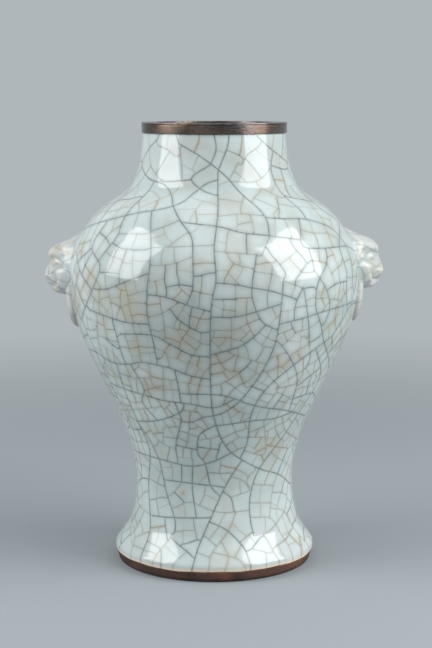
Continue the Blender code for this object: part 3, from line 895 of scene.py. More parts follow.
@dataclass
class Knitter:
    """Lays a net over a stretch of the map, its edges running along the cracks.

    Every crack gets a row of points down its middle and one on each side where it has faded out, so
    its width is in the net. The rest is filled with points on a triangular lattice, and the whole is
    joined into the least pointed triangles that keep the cracks' middles as edges.

    Attributes:
        crackle: The crack network.
        place: Gives the surface's points, used to hold a line's width where the surface is steep.
        window: Lowest and highest turn, then lowest and highest climb.
        pitch: Distance between the lattice's points, on the map.
        step: Distance between points along a crack, on the map, or 0 to keep the crack's own.
        coarse: The pitch over which a lattice counts as coarse.
        points: The points put in so far.
        lines: The iron and gold that they carry.
        edges: Pairs of their numbers, one for each edge.
    """

    crackle: Crackle
    place: Place
    window: tuple[float, float, float, float]
    pitch: float = 0.027
    step: float = 0.0
    coarse: float = 0.02
    points: list[Array] = field(default_factory=list)
    lines: list[Array] = field(default_factory=list)
    edges: list[Array] = field(default_factory=list)

    def put(self, points: Array, lines: Array, chained: bool) -> None:
        """Add points, and edges from each to the next where they are chained.

        Args:
            points: The points.
            lines: What they carry.
            chained: Whether they are chained.
        """
        first = sum(len(block) for block in self.points)
        self.points.append(points)
        self.lines.append(np.broadcast_to(lines, (len(points), 2)))
        if chained and len(points) > 1:
            number = np.arange(first, first + len(points) - 1)
            self.edges.append(np.stack([number, number + 1], axis=1))

    def inside(self, points: Array, margin: float) -> Array:
        """Tell which points lie in the window, a margin in from its edges.

        Args:
            points: The points.
            margin: The margin, on the map.

        Returns:
            Which of them are inside.
        """
        low_turn, high_turn, low_climb, high_climb = self.window
        turn, climb = points[:, 0], points[:, 1]
        along = (turn > low_turn + margin) & (turn < high_turn - margin)
        return along & (climb > low_climb + margin) & (climb < high_climb - margin)

    def draw(self, crack: Crack, number: int) -> None:
        """Add one crack's middle and its two sides, as far as it runs in the window.

        Args:
            crack: The crack.
            number: Its number on the chart.
        """
        path = crack.path
        if self.step:
            path = smooth_path(path, self.step)
        held = self.inside(path, -TINY)
        if not held.any():
            return
        for run in np.split(np.arange(len(path)), np.flatnonzero(np.diff(held.astype(int))) + 1):
            if not held[run[0]] or len(run) < 2:
                continue
            piece = path[run]
            worth = np.array([crack.tone.iron, crack.tone.gold])
            strength = 1.0 + 0.16 * np.sin(number * 2.4 + piece[:, :1] * 31 + piece[:, 1:] * 23)
            self.put(piece, worth * np.clip(strength, 0, 1.1), True)
            along = np.gradient(piece, axis=0)
            square = np.stack([-along[:, 1], along[:, 0]], axis=1)
            square /= np.maximum(np.linalg.norm(square, axis=1, keepdims=True), TINY)
            reach = 1e-3
            ahead, back = piece + square * reach, piece - square * reach
            stretch = np.linalg.norm(self.place(*ahead.T) - self.place(*back.T), axis=1) / (2 * reach)
            width = (crack.tone.half_width / np.maximum(stretch, 1e-6))[:, None]
            for side in (-1, 1):
                beside = piece + side * width * square
                row, column = self.crackle.squares(beside)
                foreign = np.zeros(len(beside), dtype=bool)
                for down in (-1, 0, 1):
                    for across in (-1, 0, 1):
                        r = np.clip(row + down, 0, self.crackle.rows - 1)
                        c = np.clip(column + across, 0, self.crackle.columns - 1)
                        owner = self.crackle.owner[r, c]
                        foreign |= (owner > 2) & (owner != number)
                keep = ~foreign & self.inside(beside, 0.4 * float(width.min()))
                self.put(beside[keep], np.zeros(2), False)

    def fill(self, clear: Sequence[tuple[float, Array]] = ()) -> None:
        """Fill the window with a triangular lattice, leaving a strip free beside the cracks.

        Args:
            clear: Distances, each with points that the lattice keeps that far from.
        """
        low_turn, high_turn, low_climb, high_climb = self.window
        rise = self.pitch * math.sqrt(0.75)
        climbs = np.arange(low_climb + rise / 2, high_climb, rise)
        turns = np.arange(low_turn + self.pitch / 4, high_turn, self.pitch)
        turn, climb = np.meshgrid(turns, climbs)
        turn = turn + (np.arange(len(climbs)) % 2)[:, None] * self.pitch / 2
        points = np.stack([turn.ravel(), climb.ravel()], axis=1)
        points = points[self.inside(points, self.pitch * 0.35)]
        # Only a fine lattice has room for points close to the cracks.
        taken = self.crackle.beside if self.pitch > self.coarse else self.crackle.close
        points = points[~taken[self.crackle.squares(points)]]
        for distance, others in clear:
            for block in np.array_split(others, max(len(others) // 200, 1)):
                gap = np.abs(points[:, None, :] - block[None, :, :]).max(axis=2).min(axis=1)
                points = points[gap > distance]
        self.put(points, np.zeros(2), False)

    def knit(self) -> Net:
        """Join everything into triangles, and give each new crossing point its crack's lines.

        Returns:
            The net.
        """
        points = np.vstack(self.points)
        lines = np.vstack(self.lines)
        edges = np.vstack(self.edges)
        out = delaunay_2d_cdt([Vector(p) for p in points.tolist()], edges.tolist(), [], 0, 1e-7)
        made = np.array([(p.x, p.y) for p in out[0]])
        faces = np.array(out[2], dtype=np.int64)
        first = np.array([origin[0] if origin else -1 for origin in out[3]])
        made_lines = lines[first]
        merged = [(k, origin) for k, origin in enumerate(out[3]) if len(origin) > 1]
        for k, origin in merged:
            made_lines[k] = lines[origin].max(axis=0)
        owner = self.crackle.owner[self.crackle.squares(made)]
        tones = [(0.0, 0.0)] * 3 + [(c.tone.iron, c.tone.gold) for c in self.crackle.cracks[2:]]
        made_lines[first < 0] = np.array(tones)[owner[first < 0]]
        exact = first >= 0
        made[exact] = points[first[exact]]
        a, b, c = (made[faces[:, i]] for i in range(3))
        area = (b[:, 0] - a[:, 0]) * (c[:, 1] - a[:, 1]) - (b[:, 1] - a[:, 1]) * (c[:, 0] - a[:, 0])
        faces[area < 0] = faces[area < 0][:, ::-1]
        return Net(made, faces[np.abs(area) > 1e-12], made_lines)


@dataclass
class Sheet:
    """One stretch of a piece's surface.

    Attributes:
        points: The points, in millimetres.
        faces: Point numbers, three or four to a face, anticlockwise seen from outside.
        normals: A normal for each corner of each face.
        chart: A place on the piece's texture map for each corner of each face.
        finish: Which of the piece's finishes it wears.
        crackle: Iron, gold and stain at each point.
        veil: The shade beside the dark cracks, on the sprigs also the painted shade of hollows, how thin the
            glaze has run, and the fire's blots.
    """

    points: Array
    faces: Array
    normals: Array
    chart: Array
    finish: int = 0
    crackle: Array | None = None
    veil: Array | None = None


def turned(
    run: Array, columns: int, finish: int, band: tuple[float, float], wave: Place | None = None
) -> Sheet:
    """Turn a run of a profile round the axis: radius times sine and cosine, height unchanged.

    The run goes up the outside, in over the top and down the inside, which faces its sheet outwards.

    Args:
        run: Radius and height of each point of the run.
        columns: Number of steps round the axis.
        finish: Which finish the sheet wears.
        band: Lowest and highest place of the sheet on the texture map.
        wave: Gives a small change of radius for turns and heights, where the surface is uneven.

    Returns:
        The sheet.
    """
    turn = np.linspace(-math.pi, math.pi, columns, endpoint=False)
    radius = np.repeat(run[:, :1], columns, axis=1)
    height = np.repeat(run[:, 1:], columns, axis=1)
    if wave is not None:
        radius = radius + wave(turn[None, :], height)
    points = np.stack([radius * np.sin(turn), -radius * np.cos(turn), height], axis=-1)
    slope = np.gradient(run, axis=0)
    slope /= np.maximum(np.linalg.norm(slope, axis=1, keepdims=True), TINY)
    out, up = slope[:, 1:], -slope[:, :1]
    normal = np.stack([out * np.sin(turn), -out * np.cos(turn), np.repeat(up, columns, axis=1)], axis=-1)
    rows = len(run)
    i, j = np.meshgrid(np.arange(rows - 1), np.arange(columns), indexing="ij")
    ahead = (j + 1) % columns
    grid = [i * columns + j, i * columns + ahead, (i + 1) * columns + ahead, (i + 1) * columns + j]
    faces = np.stack([part.ravel() for part in grid], axis=1)
    flat = normal.reshape(-1, 3)
    share = np.concatenate([[0], np.cumsum(np.linalg.norm(np.diff(run, axis=0), axis=1))])
    share = band[0] + (band[1] - band[0]) * share / share[-1]
    across = np.stack([j, j + 1, j + 1, j], axis=-1).reshape(-1, 4) / columns
    along = np.stack([share[i], share[i], share[i + 1], share[i + 1]], axis=-1).reshape(-1, 4)
    chart = np.stack([0.01 + 0.98 * across, along], axis=-1)
    return Sheet(points.reshape(-1, 3), faces, flat[faces], chart, finish)


def zipped(outer: Array, inner: Array, finish: int, band: tuple[float, float], up: bool) -> Sheet:
    """Close the gap between two loops round the axis.

    Both loops' points are put in one order by their turn. Each point makes a triangle with the one
    before it on its own loop and the last one passed on the other loop.

    Args:
        outer: Points of the outer loop, in order of turn.
        inner: Points of the inner loop, in order of turn.
        finish: Which finish the sheet wears.
        band: Lowest and highest place of the sheet on the texture map.
        up: Whether it faces up.

    Returns:
        The sheet.
    """
    loops = (outer, inner)
    turns = [front_turn(loop) for loop in loops]
    loops = tuple(loop[np.argsort(turn, kind="stable")] for loop, turn in zip(loops, turns))
    turns = [np.sort(turn, kind="stable") for turn in turns]
    counts = [len(loop) for loop in loops]
    which = np.repeat([0, 1], counts)
    own = np.concatenate([np.arange(counts[0]), np.arange(counts[1])])
    order = np.argsort(np.concatenate(turns), kind="stable")
    which, own = which[order], own[order]
    latest = [np.maximum.accumulate(np.where(which == k, own, -1)) for k in (0, 1)]
    latest = [np.where(value < 0, counts[k] - 1, value) for k, value in enumerate(latest)]
    start = np.array([0, counts[0]])
    here = own + start[which]
    before = (own - 1) % np.array(counts)[which] + start[which]
    other = np.where(which == 0, latest[1] + start[1], latest[0])
    ahead_first = np.stack([before, here, other], axis=1)
    faces = np.where((which == 0)[:, None], ahead_first, ahead_first[:, [1, 0, 2]])
    if not up:
        faces = faces[:, ::-1]
    points = np.vstack(loops)
    a, b, c = (points[faces[:, i]] for i in range(3))
    normal = np.cross(b - a, c - a)
    size = np.linalg.norm(normal, axis=1, keepdims=True)
    faces, normal = faces[size[:, 0] > TINY], (normal / np.maximum(size, 1e-12))[size[:, 0] > TINY]
    turn = np.concatenate(turns)[faces]
    middle = turn[:, :1]
    turn = middle + (turn - middle + math.pi) % math.tau - math.pi
    share = np.where(faces >= counts[0], band[1], band[0])
    chart = np.stack([0.01 + 0.98 * (turn / math.tau + 0.5), share], axis=-1)
    return Sheet(points, faces, np.repeat(normal[:, None, :], 3, axis=1), chart, finish)


@dataclass
class Piece:
    """One piece of the vase: its sheets, welded into a closed mesh where their points meet.

    Attributes:
        name: The piece's name.
        stands_for: The CAD nodes that it replaces.
        slot: The name of its material slot; not used.
        sheets: Its sheets.
    """

    name: str
    stands_for: tuple[str, ...]
    slot: str
    sheets: list[Sheet] = field(default_factory=list)

    def welded(self, points: Array, grain: float = 1e-4) -> tuple[Array, Array]:
        """Return the first of each set of coinciding points, and the new number of every point.

        Args:
            points: The points.
            grain: How near points must be to coincide.

        Returns:
            The numbers of the points kept, and for every point its new number.
        """
        _, first, number = np.unique(
            np.round(points / grain).astype(np.int64), axis=0, return_index=True, return_inverse=True
        )
        return first, number.ravel()

    def unpinched(self, corners: Array) -> list[tuple[Array, list[int]]]:
        """Sort faces by the corners to keep, where welding has made two of them the same point.

        Args:
            corners: The point numbers of triangles or of quads.

        Returns:
            Which faces keep which corners: all of them, or for a quad all but one.
        """
        count = corners.shape[1]
        pinched = [corners[:, i] == corners[:, (i + 1) % count] for i in range(count)]
        whole = ~np.any(pinched, axis=0)
        kept = [(whole, list(range(count)))]
        if count == 4:
            kept += [(pinched[i] & ~whole, [j for j in range(4) if j != i]) for i in range(4)]
        return kept

    def make(self, finishes: Sequence[bpy.types.Material]) -> bpy.types.Object:
        """Put the sheets into one mesh, with its normals, texture map and glaze attributes.

        Args:
            finishes: The materials, in the order that the sheets number them.

        Returns:
            The piece, riding on the vase and standing for its CAD nodes.
        """
        counts = np.cumsum([0] + [len(sheet.points) for sheet in self.sheets])
        first, number = self.welded(np.vstack([sheet.points for sheet in self.sheets]))
        points = np.vstack([sheet.points for sheet in self.sheets])[first] * MM
        faces: list[list[int]] = []
        normals, charts, finish = [], [], []
        for start, sheet in zip(counts, self.sheets):
            corners = number[sheet.faces + start]
            for held, order in self.unpinched(corners):
                if held.any():
                    faces += corners[held][:, order].tolist()
                    normals.append(sheet.normals[held][:, order].reshape(-1, 3))
                    charts.append(sheet.chart[held][:, order].reshape(-1, 2))
                    finish.append(np.full(int(held.sum()), sheet.finish))
        mesh = bpy.data.meshes.new(self.name)
        mesh.from_pydata(points.tolist(), [], faces)
        mesh.polygons.foreach_set("material_index", np.concatenate(finish).astype(np.int32))
        mesh.polygons.foreach_set("use_smooth", np.ones(len(faces), dtype=bool))
        layer = mesh.uv_layers.new(name="OFBake")
        layer.data.foreach_set("uv", np.vstack(charts).astype(np.float32).ravel())
        for title in ("crackle", "veil"):
            blocks = [(getattr(sheet, title), len(sheet.points)) for sheet in self.sheets]
            values = np.vstack([np.zeros((count, 3)) if block is None else block for block, count in blocks])
            gathered = np.zeros((len(first), 3), dtype=np.float32)
            np.maximum.at(gathered, number, values.astype(np.float32))
            mesh.attributes.new(title, "FLOAT_VECTOR", "POINT").data.foreach_set("vector", gathered.ravel())
        mesh.normals_split_custom_set(np.vstack(normals).tolist())
        for material in finishes:
            mesh.materials.append(material)
        piece = placed(mesh)
        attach(piece, BODY)
        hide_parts(*self.stands_for)
        LOG.info("%s: %d points, %d faces", self.name, len(points), len(faces))
        return piece


def rim_loop(sheet: Sheet, height: float) -> Array:
    """Return the points of a sheet's edge at a height, in order of turn and each one once.

    Args:
        sheet: The sheet.
        height: The height of the edge.

    Returns:
        The edge's points, turning one way.
    """
    edge = sheet.points[np.abs(sheet.points[:, 2] - height) < 1e-6]
    turn = front_turn(edge)
    turn = np.where(turn > math.pi - TINY, -math.pi, turn)
    _, first = np.unique(np.round(turn, 7), return_index=True)
    return edge[first]


def arc(
    centre: tuple[float, float], radius: float, start: float, end: float, steps: int
) -> list[list[float]]:
    """Return points along an arc of a profile, from one angle to another in degrees."""
    turn = np.radians(np.linspace(start, end, steps + 1))
    return np.stack([centre[0] + radius * np.cos(turn), centre[1] + radius * np.sin(turn)], axis=1).tolist()


@dataclass
class GlazedBody:
    """The four thrown sections under one glaze.

    Attributes:
        crackle: The crack network.
        seams: Heights of the three luted joints.
        columns: Steps round the axis on the plainer surfaces.
        net: The net over the whole outer face, once it is woven.
        floor: Height of the inside floor.
        fillet: Radius between the wall and the floor.
        recess: Height of the underside within the foot ring.
        cove: Radius between the two.
        ring: Width of the foot ring.
        band: Outer radius at the top of the unglazed foot, where the glaze stops.
        taper: Radius lost from there to the bottom.
        edge: Radius of the foot ring's and the lip's edges.
        lip_outer: Radius of the lip inside the metal band.
        lip_top: Height of the lip.
    """

    crackle: Crackle
    seams: tuple[float, float, float] = (47.0, 124.0, 216.0)
    columns: int = 240
    floor: float = 13.0
    fillet: float = 10.0
    recess: float = 7.0
    cove: float = 3.0
    ring: float = 5.8
    band: float = 57.15
    taper: float = 1.65
    edge: float = 0.8
    lip_outer: float = 38.9
    lip_top: float = 247.6
    net: Net | None = None

    def weave(self) -> None:
        """Lay the net over the whole outer face, with a row of edges along each seam."""
        window = (-math.pi, math.pi, 0.0, self.crackle.top)
        knitter = Knitter(self.crackle, on_body, window)
        nothing = np.zeros(2)
        for edge in self.crackle.cracks[:2]:
            knitter.put(edge.path, nothing, True)
        turns = self.crackle.cracks[0].path[:, 0]
        rows = []
        for seam in self.seams:
            climb = float(CURVE.climb(seam))
            row = np.stack([turns, np.full(len(turns), climb)], axis=1)
            knitter.put(row, nothing, True)
            rows.append(row)
        for number, crack in enumerate(self.crackle.cracks[2:], start=3):
            knitter.draw(crack, number)
        edges = [crack.path for crack in self.crackle.cracks[:4]]
        knitter.fill([(0.006, np.vstack(rows)), (0.008, np.vstack(edges))])
        self.net = knitter.knit()
        for axis, levels in ((1, [float(row[0, 1]) for row in rows]), (0, [-math.pi, math.pi])):
            for level in levels:
                self.net.points[np.abs(self.net.points[:, axis] - level) < 2e-6, axis] = level

    def thin_glaze(self, points: Array) -> Array:
        """Return how thin the glaze is: most at its lower edge, fading over about 2 mm.

        Args:
            points: Points of the body.

        Returns:
            How thin, from 0 to 1.
        """
        above = points[:, 2] - CURVE.heights[0]
        sway = 0.5 * np.sin(3 * front_turn(points) + 1.0)
        return np.clip(1.4 * (1 - above / (2.1 + sway)), 0, 1) ** 1.2

    def wander(self, points: Array) -> Array:
        """Return points with the glaze's lower edge gone wavy: up and down by slow waves round the foot.

        The shift is whole at the edge's height and gone 3 mm above and below it.

        Args:
            points: Points of the body.

        Returns:
            The moved points.
        """
        turn = front_turn(points)
        wave = 0.22 * np.sin(4 * turn + 0.7) + 0.16 * np.sin(9 * turn + 2.1) + 0.10 * np.sin(21 * turn)
        moved = points.copy()
        moved[:, 2] += wave * smooth(np.clip(1 - np.abs(points[:, 2] - CURVE.heights[0]) / 3.0, 0, 1))
        return moved

    def outside(self, low: float, high: float) -> Sheet:
        """Return the outer face between two heights, cut from the net.

        Args:
            low: Height of its lower edge.
            high: Height of its upper edge.

        Returns:
            The face.
        """
        bottom, top = float(CURVE.climb(low)), float(CURVE.climb(high))
        middle = self.net.middles()
        held = (middle[:, 1] > bottom) & (middle[:, 1] < top)
        half = (middle[held, 0] > 0).astype(int)
        net = self.net.cut(held)
        turn, climb = net.points.T
        points = on_body(np.where(turn > math.pi - TINY, -math.pi, turn), climb)
        for height in (low, high):
            points[np.abs(climb - float(CURVE.climb(height))) < TINY, 2] = height
        normals = square_to(on_body, turn, climb)
        across = (turn[net.faces] - np.where(half == 0, -math.pi, 0.0)[:, None]) / math.pi
        along = (climb[net.faces] - bottom) / (top - bottom)
        chart = np.stack([0.02 + 0.96 * across, 0.01 + 0.34 * half[:, None] + 0.32 * along], axis=-1)
        attributes = self.crackle.worn_by(net, self.thin_glaze(points))
        return Sheet(points, net.faces, normals[net.faces], chart, 0, *attributes)

    def wall_run(self, high: float, low: float, steps: int) -> Array:
        """Return a run down the inner face."""
        heights = np.linspace(high, low, steps + 1)
        return np.stack([CURVE.cavity(heights), heights], axis=1)

    def foot(self) -> Piece:
        """Return the foot section: skirt, unglazed foot ring, recess and inside floor.

        Returns:
            The section.
        """
        seam = self.seams[0]
        outside = self.outside(CURVE.heights[0], seam)
        spring = self.floor + self.fillet
        centre = float(CURVE.cavity(spring)) - self.fillet
        inside = self.wall_run(seam, spring, 8).tolist()
        inside += arc((centre, spring), self.fillet, 0, -90, 9)[1:]
        inside += [[r, self.floor] for r in np.linspace(centre, 0, 8)[1:]]
        base = self.band - self.taper
        inner = base - self.ring
        under = [[r, self.recess] for r in np.linspace(0, inner - self.cove, 8)]
        under += arc((inner - self.cove, self.recess - self.cove), self.cove, 90, 0, 6)[1:]
        ring = smooth_path(np.array([[inner, self.recess - self.cove], [inner, self.edge]]), 0.8).tolist()
        ring += arc((inner + self.edge, self.edge), self.edge, 180, 270, 4)[1:]
        ring += [[base - self.edge, 0.0]]
        skirt = arc((base - self.edge, self.edge), self.edge, 270, 360, 5)
        rise = np.array([skirt[-1], [self.band - self.taper * 0.5, 3.6], [self.band, CURVE.heights[0]]])
        skirt += smooth_path(rise, 0.4).tolist()[1:]
        sheets = [
            outside,
            turned(np.array(inside), self.columns, 1, (0.70, 0.80)),
            turned(np.array(under), self.columns, 1, (0.81, 0.86)),
            turned(np.array(ring), self.columns, 2, (0.87, 0.91)),
            turned(np.array(skirt), self.columns, 2, (0.92, 0.97), self.rough_foot),
        ]
        low, high = rim_loop(outside, CURVE.heights[0]), rim_loop(outside, seam)
        for sheet in (outside, sheets[4]):
            sheet.points = self.wander(sheet.points)
        low = self.wander(low)
        top_row = sheets[1].points[: self.columns]
        ring_top = sheets[4].points[-self.columns :]
        sheets.append(zipped(high, top_row, 1, (0.975, 0.98), True))
        sheets.append(zipped(low, ring_top, 2, (0.985, 0.99), False))
        return Piece("foot_section_glazed", ("foot_section",), "crackle_glaze", sheets)

    def rough_foot(self, turn: Array, height: Array) -> Array:
        """Return the foot's turning marks and wear: a few slow waves, gone at its top and bottom.

        Args:
            turn: Turn of each place.
            height: Its height.

        Returns:
            How far each place stands out.
        """
        free = np.clip(height / 1.2, 0, 1) * np.clip((CURVE.heights[0] - height) / 1.0, 0, 1)
        wave = np.sin(7 * turn + 1.3) * 0.05 + np.sin(19 * turn + height * 1.1) * 0.035
        return free * (wave + 0.03 * np.sin(height * 2.9 + 1.5 * np.sin(2 * turn)))

    def open_section(self, node: str, low: float, high: float, run: Array) -> Piece:
        """Make a section that is open at both ends.

        Args:
            node: The CAD node that it stands for.
            low: Height of its lower end.
            high: Height where its outer face ends.
            run: The run from there over its upper end and down its inner face.

        Returns:
            The section.
        """
        outside = self.outside(low, high)
        inside = turned(run, self.columns, 1, (0.70, 0.96))
        top = zipped(rim_loop(outside, high), inside.points[: self.columns], 1, (0.965, 0.97), True)
        bottom = zipped(rim_loop(outside, low), inside.points[-self.columns :], 1, (0.98, 0.985), False)
        return Piece(f"{node}_glazed", (node,), "crackle_glaze", [outside, inside, top, bottom])

    def neck(self) -> Piece:
        """Make the neck, with its lip running up inside the metal band.

        Returns:
            The neck.
        """
        low, high = self.seams[2], CURVE.heights[-1]
        mouth, shoulder = float(CURVE.cavity(high)), self.lip_top - self.edge
        run = [[self.lip_outer, high], [self.lip_outer, shoulder]]
        run += arc((self.lip_outer - self.edge, shoulder), self.edge, 0, 90, 4)[1:]
        run += arc((mouth + self.edge, shoulder), self.edge, 90, 180, 4)
        return self.open_section("neck", low, high, np.array(run + self.wall_run(high, low, 10).tolist()))

    def pieces(self) -> list[Piece]:
        """Make the four sections.

        Returns:
            The sections, from the foot up.
        """
        self.weave()
        foot, belly, neck = self.seams
        return [
            self.foot(),
            self.open_section("lower_body", foot, belly, self.wall_run(belly, foot, 14)),
            self.open_section("upper_body", belly, neck, self.wall_run(neck, belly, 14)),
            self.neck(),
        ]


@dataclass(frozen=True)
class Lobe:
    """One soft rise or hollow of the mask's face, the same on both halves: a bell curve each way.

    Attributes:
        across: Distance from the middle line.
        up: Height over the mask's middle.
        wide: How far it spreads across.
        tall: How far it spreads up and down.
        rise: Its height, below 0 for a hollow.
    """

    across: float
    up: float
    wide: float
    tall: float
    rise: float

    def relief(self, across: Array, up: Array) -> Array:
        """Return the lobe's height: rise times the bell curve of both distances from its middle."""
        aside = (np.abs(across) - self.across) / self.wide
        return self.rise * np.exp(-(aside**2) - ((up - self.up) / self.tall) ** 2)


FACE = (
    Lobe(6.6, 6.4, 5.2, 3.0, 1.3),
    Lobe(8.6, 1.7, 3.9, 3.1, -1.8),
    Lobe(8.4, 1.5, 2.5, 2.1, 2.6),
    Lobe(10.0, -3.2, 3.6, 2.4, 0.7),
    Lobe(5.0, -6.3, 3.2, 3.0, 1.4),
    Lobe(0.0, -3.6, 2.4, 2.8, 0.5),
    Lobe(10.2, -8.0, 2.6, 3.8, -0.7),
    Lobe(13.8, 9.0, 4.0, 3.6, 2.0),
    Lobe(14.4, 8.4, 2.2, 2.4, -0.7),
    Lobe(16.0, 2.2, 3.0, 3.2, 1.0),
)


@dataclass(frozen=True)
class Fold:
    """A groove or ridge of the mask along a short path, the same on both halves.

    Attributes:
        route: Places along it, across and up.
        wide: How far it spreads to each side.
        rise: Its height, below 0 for a groove.
    """

    route: tuple[tuple[float, float], ...]
    wide: float
    rise: float

    def relief(self, across: Array, up: Array) -> Array:
        """Return the fold's height: rise times a bell curve of the distance to its smooth path.

        Args:
            across: Distance across from the mask's middle.
            up: Distance up from it.

        Returns:
            The fold's height there.
        """
        path = smooth_path(np.array(self.route), 0.5)
        here = np.stack([np.abs(across), up], axis=-1)
        best = np.full(across.shape, np.inf)
        for place in path:
            best = np.minimum(best, ((here - place) ** 2).sum(axis=-1))
        return self.rise * np.exp(-best / self.wide**2)


FOLDS = (
    Fold(((2.2, -11.6), (5.4, -11.8), (8.6, -10.6), (10.6, -8.4)), 1.3, -0.85),
    Fold(((1.9, 7.8), (1.7, 5.0), (2.6, 2.4)), 1.5, -0.4),
    Fold(((4.6, 3.9), (8.2, 4.7), (12.0, 2.8)), 1.2, -0.35),
    Fold(((3.4, -3.0), (5.0, -4.2), (7.4, -4.8)), 1.4, -0.4),
    Fold(((1.4, 11.4), (2.0, 14.0), (1.6, 16.4)), 1.5, -0.45),
    Fold(((6.0, 10.6), (8.0, 13.2), (8.6, 15.4)), 1.5, -0.5),
    Fold(((10.2, 12.4), (12.6, 13.4), (14.6, 13.0)), 1.5, -0.45),
    Fold(((13.4, 5.4), (16.2, 5.6), (19.0, 4.8)), 1.5, -0.6),
    Fold(((13.4, -0.6), (16.2, -1.2), (18.8, -2.8)), 1.5, -0.5),
    Fold(((12.6, -6.4), (15.0, -8.4), (16.6, -11.0)), 1.5, -0.5),
)


@dataclass
class SideSprig:
    """A lion mask and the mock ring that hangs from it, laid on one side of the body.

    Attributes:
        crackle: The crack network.
        side: 1 for the side that faces +X, -1 for the other.
        middle: Height of the mask's middle.
        half_width: Half the mask's width.
        half_height: Half its height.
        squareness: Power of the outline, 2 for an ellipse and more for a squarer shape.
        spread: How fast the relief falls away from the middle line.
        rim: Share of the mask over which the relief dies down, at its top and added at its sides.
        ridge: Height, relief and slope of each station of the middle line.
        hang: How far the ring's middle lies under the mask's.
        ring_wide: Half the ring's width, to the middle of its strip.
        ring_tall: Half its height.
        strip: Half the strip's width.
        fade: Width over which its edge runs out.
        arm: How high the strip's ends reach, from the mask's middle.
        proud: The strip's height at the mask, and at the ring's bottom.
        sunk: How deep the back lies under the body's face.
    """

    crackle: Crackle
    side: int
    middle: float
    half_width: float = 21.0
    half_height: float = 18.2
    squareness: float = 2.2
    spread: float = 13.6
    rim: tuple[float, float] = (0.09, 0.27)
    ridge: tuple[tuple[float, float, float], ...] = (
        (-18.2, 3.0, 3.2),
        (-17.0, 6.6, 2.3),
        (-15.2, 9.6, 1.2),
        (-13.2, 11.2, 0.65),
        (-9.1, 12.9, 0.3),
        (-6.7, 13.4, 0.0),
        (-3.1, 12.9, -0.15),
        (0.9, 12.4, 0.0),
        (3.3, 12.9, 0.2),
        (7.0, 13.4, -0.1),
        (9.4, 12.6, -0.7),
        (11.8, 10.2, -1.6),
        (14.3, 5.2, -1.7),
        (17.5, 1.3, -0.6),
        (18.2, 1.0, -0.3),
    )
    hang: float = 19.5
    ring_wide: float = 14.0
    ring_tall: float = 13.2
    strip: float = 2.8
    fade: float = 0.7
    proud: tuple[float, float] = (2.8, 3.1)
    arm: float = -3.4
    sunk: float = 0.4

    def profile(self, up: Array) -> Array:
        """Return the middle line's relief, a cubic from station to station with their slopes.

        Args:
            up: How far each place is above the mask's middle.

        Returns:
            The relief.
        """
        at, relief, slope = np.array(self.ridge).T
        k = np.clip(np.searchsorted(at, up, side="right") - 1, 0, len(at) - 2)
        length = at[k + 1] - at[k]
        t = np.clip((up - at[k]) / length, 0, 1)
        return cubic(t, (relief[k], relief[k + 1]), (slope[k], slope[k + 1]), length)

    def reach(self, across: Array, up: Array) -> Array:
        """Return how far out a place is on the mask: 0 at its middle and 1 on its outline.

        Args:
            across: Distance across from the mask's middle.
            up: Distance up from it.

        Returns:
            How far out.
        """
        aside = np.abs(across / self.half_width) ** self.squareness
        above = np.abs(up / self.half_height) ** self.squareness
        return (aside + above) ** (1 / self.squareness)

    def mask(self, across: Array, up: Array) -> Array:
        """Return the mask's height: the middle line spread sideways, with the face added to it.

        Args:
            across: Distance across from the mask's middle.
            up: Distance up from it.

        Returns:
            The mask's height there.
        """
        relief = self.profile(up) * np.exp(-((across / self.spread) ** 2))
        for lobe in FACE:
            relief = relief + lobe.relief(across, up)
        for fold in FOLDS:
            relief = relief + fold.relief(across, up)
        out = self.reach(across, up)
        rim = self.rim[0] + self.rim[1] * np.clip(np.abs(across) / self.half_width, 0, 1) ** 2
        return np.maximum(relief, 0) * smooth(np.clip((1 - out) / rim, 0, 1))

    def off_ring(self, across: Array, up: Array) -> Array:
        """Return the distance from the middle of the ring's strip: a U of an ellipse and two arms.

        Args:
            across: Distance across from the mask's middle.
            up: Distance up from it.

        Returns:
            The distances.
        """
        aside = np.abs(across)
        down = up + self.hang
        turn = np.arctan2(-down * self.ring_wide, aside * self.ring_tall)
        turn = np.clip(turn, 0, math.pi / 2)
        for _ in range(4):
            x, y = self.ring_wide * np.cos(turn), -self.ring_tall * np.sin(turn)
            along_x, along_y = -self.ring_wide * np.sin(turn), -self.ring_tall * np.cos(turn)
            speed = along_x**2 + along_y**2
            step = ((aside - x) * along_x + (down - y) * along_y) / np.maximum(speed, TINY)
            turn = np.clip(turn + step, 0, math.pi / 2)
        x, y = self.ring_wide * np.cos(turn), -self.ring_tall * np.sin(turn)
        below = np.hypot(aside - x, down - y)
        above = np.hypot(aside - self.ring_wide, up - np.clip(up, -self.hang, self.arm))
        return np.where(down < 0, np.minimum(below, above), above)

    def ring(self, across: Array, up: Array) -> Array:
        """Return the strip's height: a rounded band, thicker towards the bottom of the ring.

        On the mask the glaze has filled the corners beside it, and there the band rises as a smooth step.

        Args:
            across: Distance across from the mask's middle.
            up: Distance up from it.

        Returns:
            The strip's height there.
        """
        far = self.off_ring(across, up)
        share = np.clip((self.strip + self.fade - far) / (self.strip + self.fade), 0, 1)
        dome = np.sqrt(np.clip(1 - (1 - share) ** 2.6, 0, 1))
        fall = np.clip((-up - 10) / 18, 0, 1)
        held = np.clip((up + 17.5) / 7, 0, 1)
        soft = np.clip((self.strip + 2.2 - far) / (self.strip + 2.2), 0, 1)
        dome = dome * (1 - held) + 0.85 * smooth(soft) * held
        return dome * (self.proud[0] + (self.proud[1] - self.proud[0]) * fall)

    def relief(self, across: Array, up: Array) -> Array:
        """Return the whole sprig's height over the body, just under it outside both outlines."""
        mask, ring = self.mask(across, up), self.ring(across, up)
        return mask + ring - 0.06

    def spots(self, turn: Array, climb: Array) -> tuple[Array, Array]:
        """Return places of the map as across and up from the mask's middle."""
        points = on_body(turn, climb)
        return points[..., 1] * self.side, points[..., 2] - self.middle

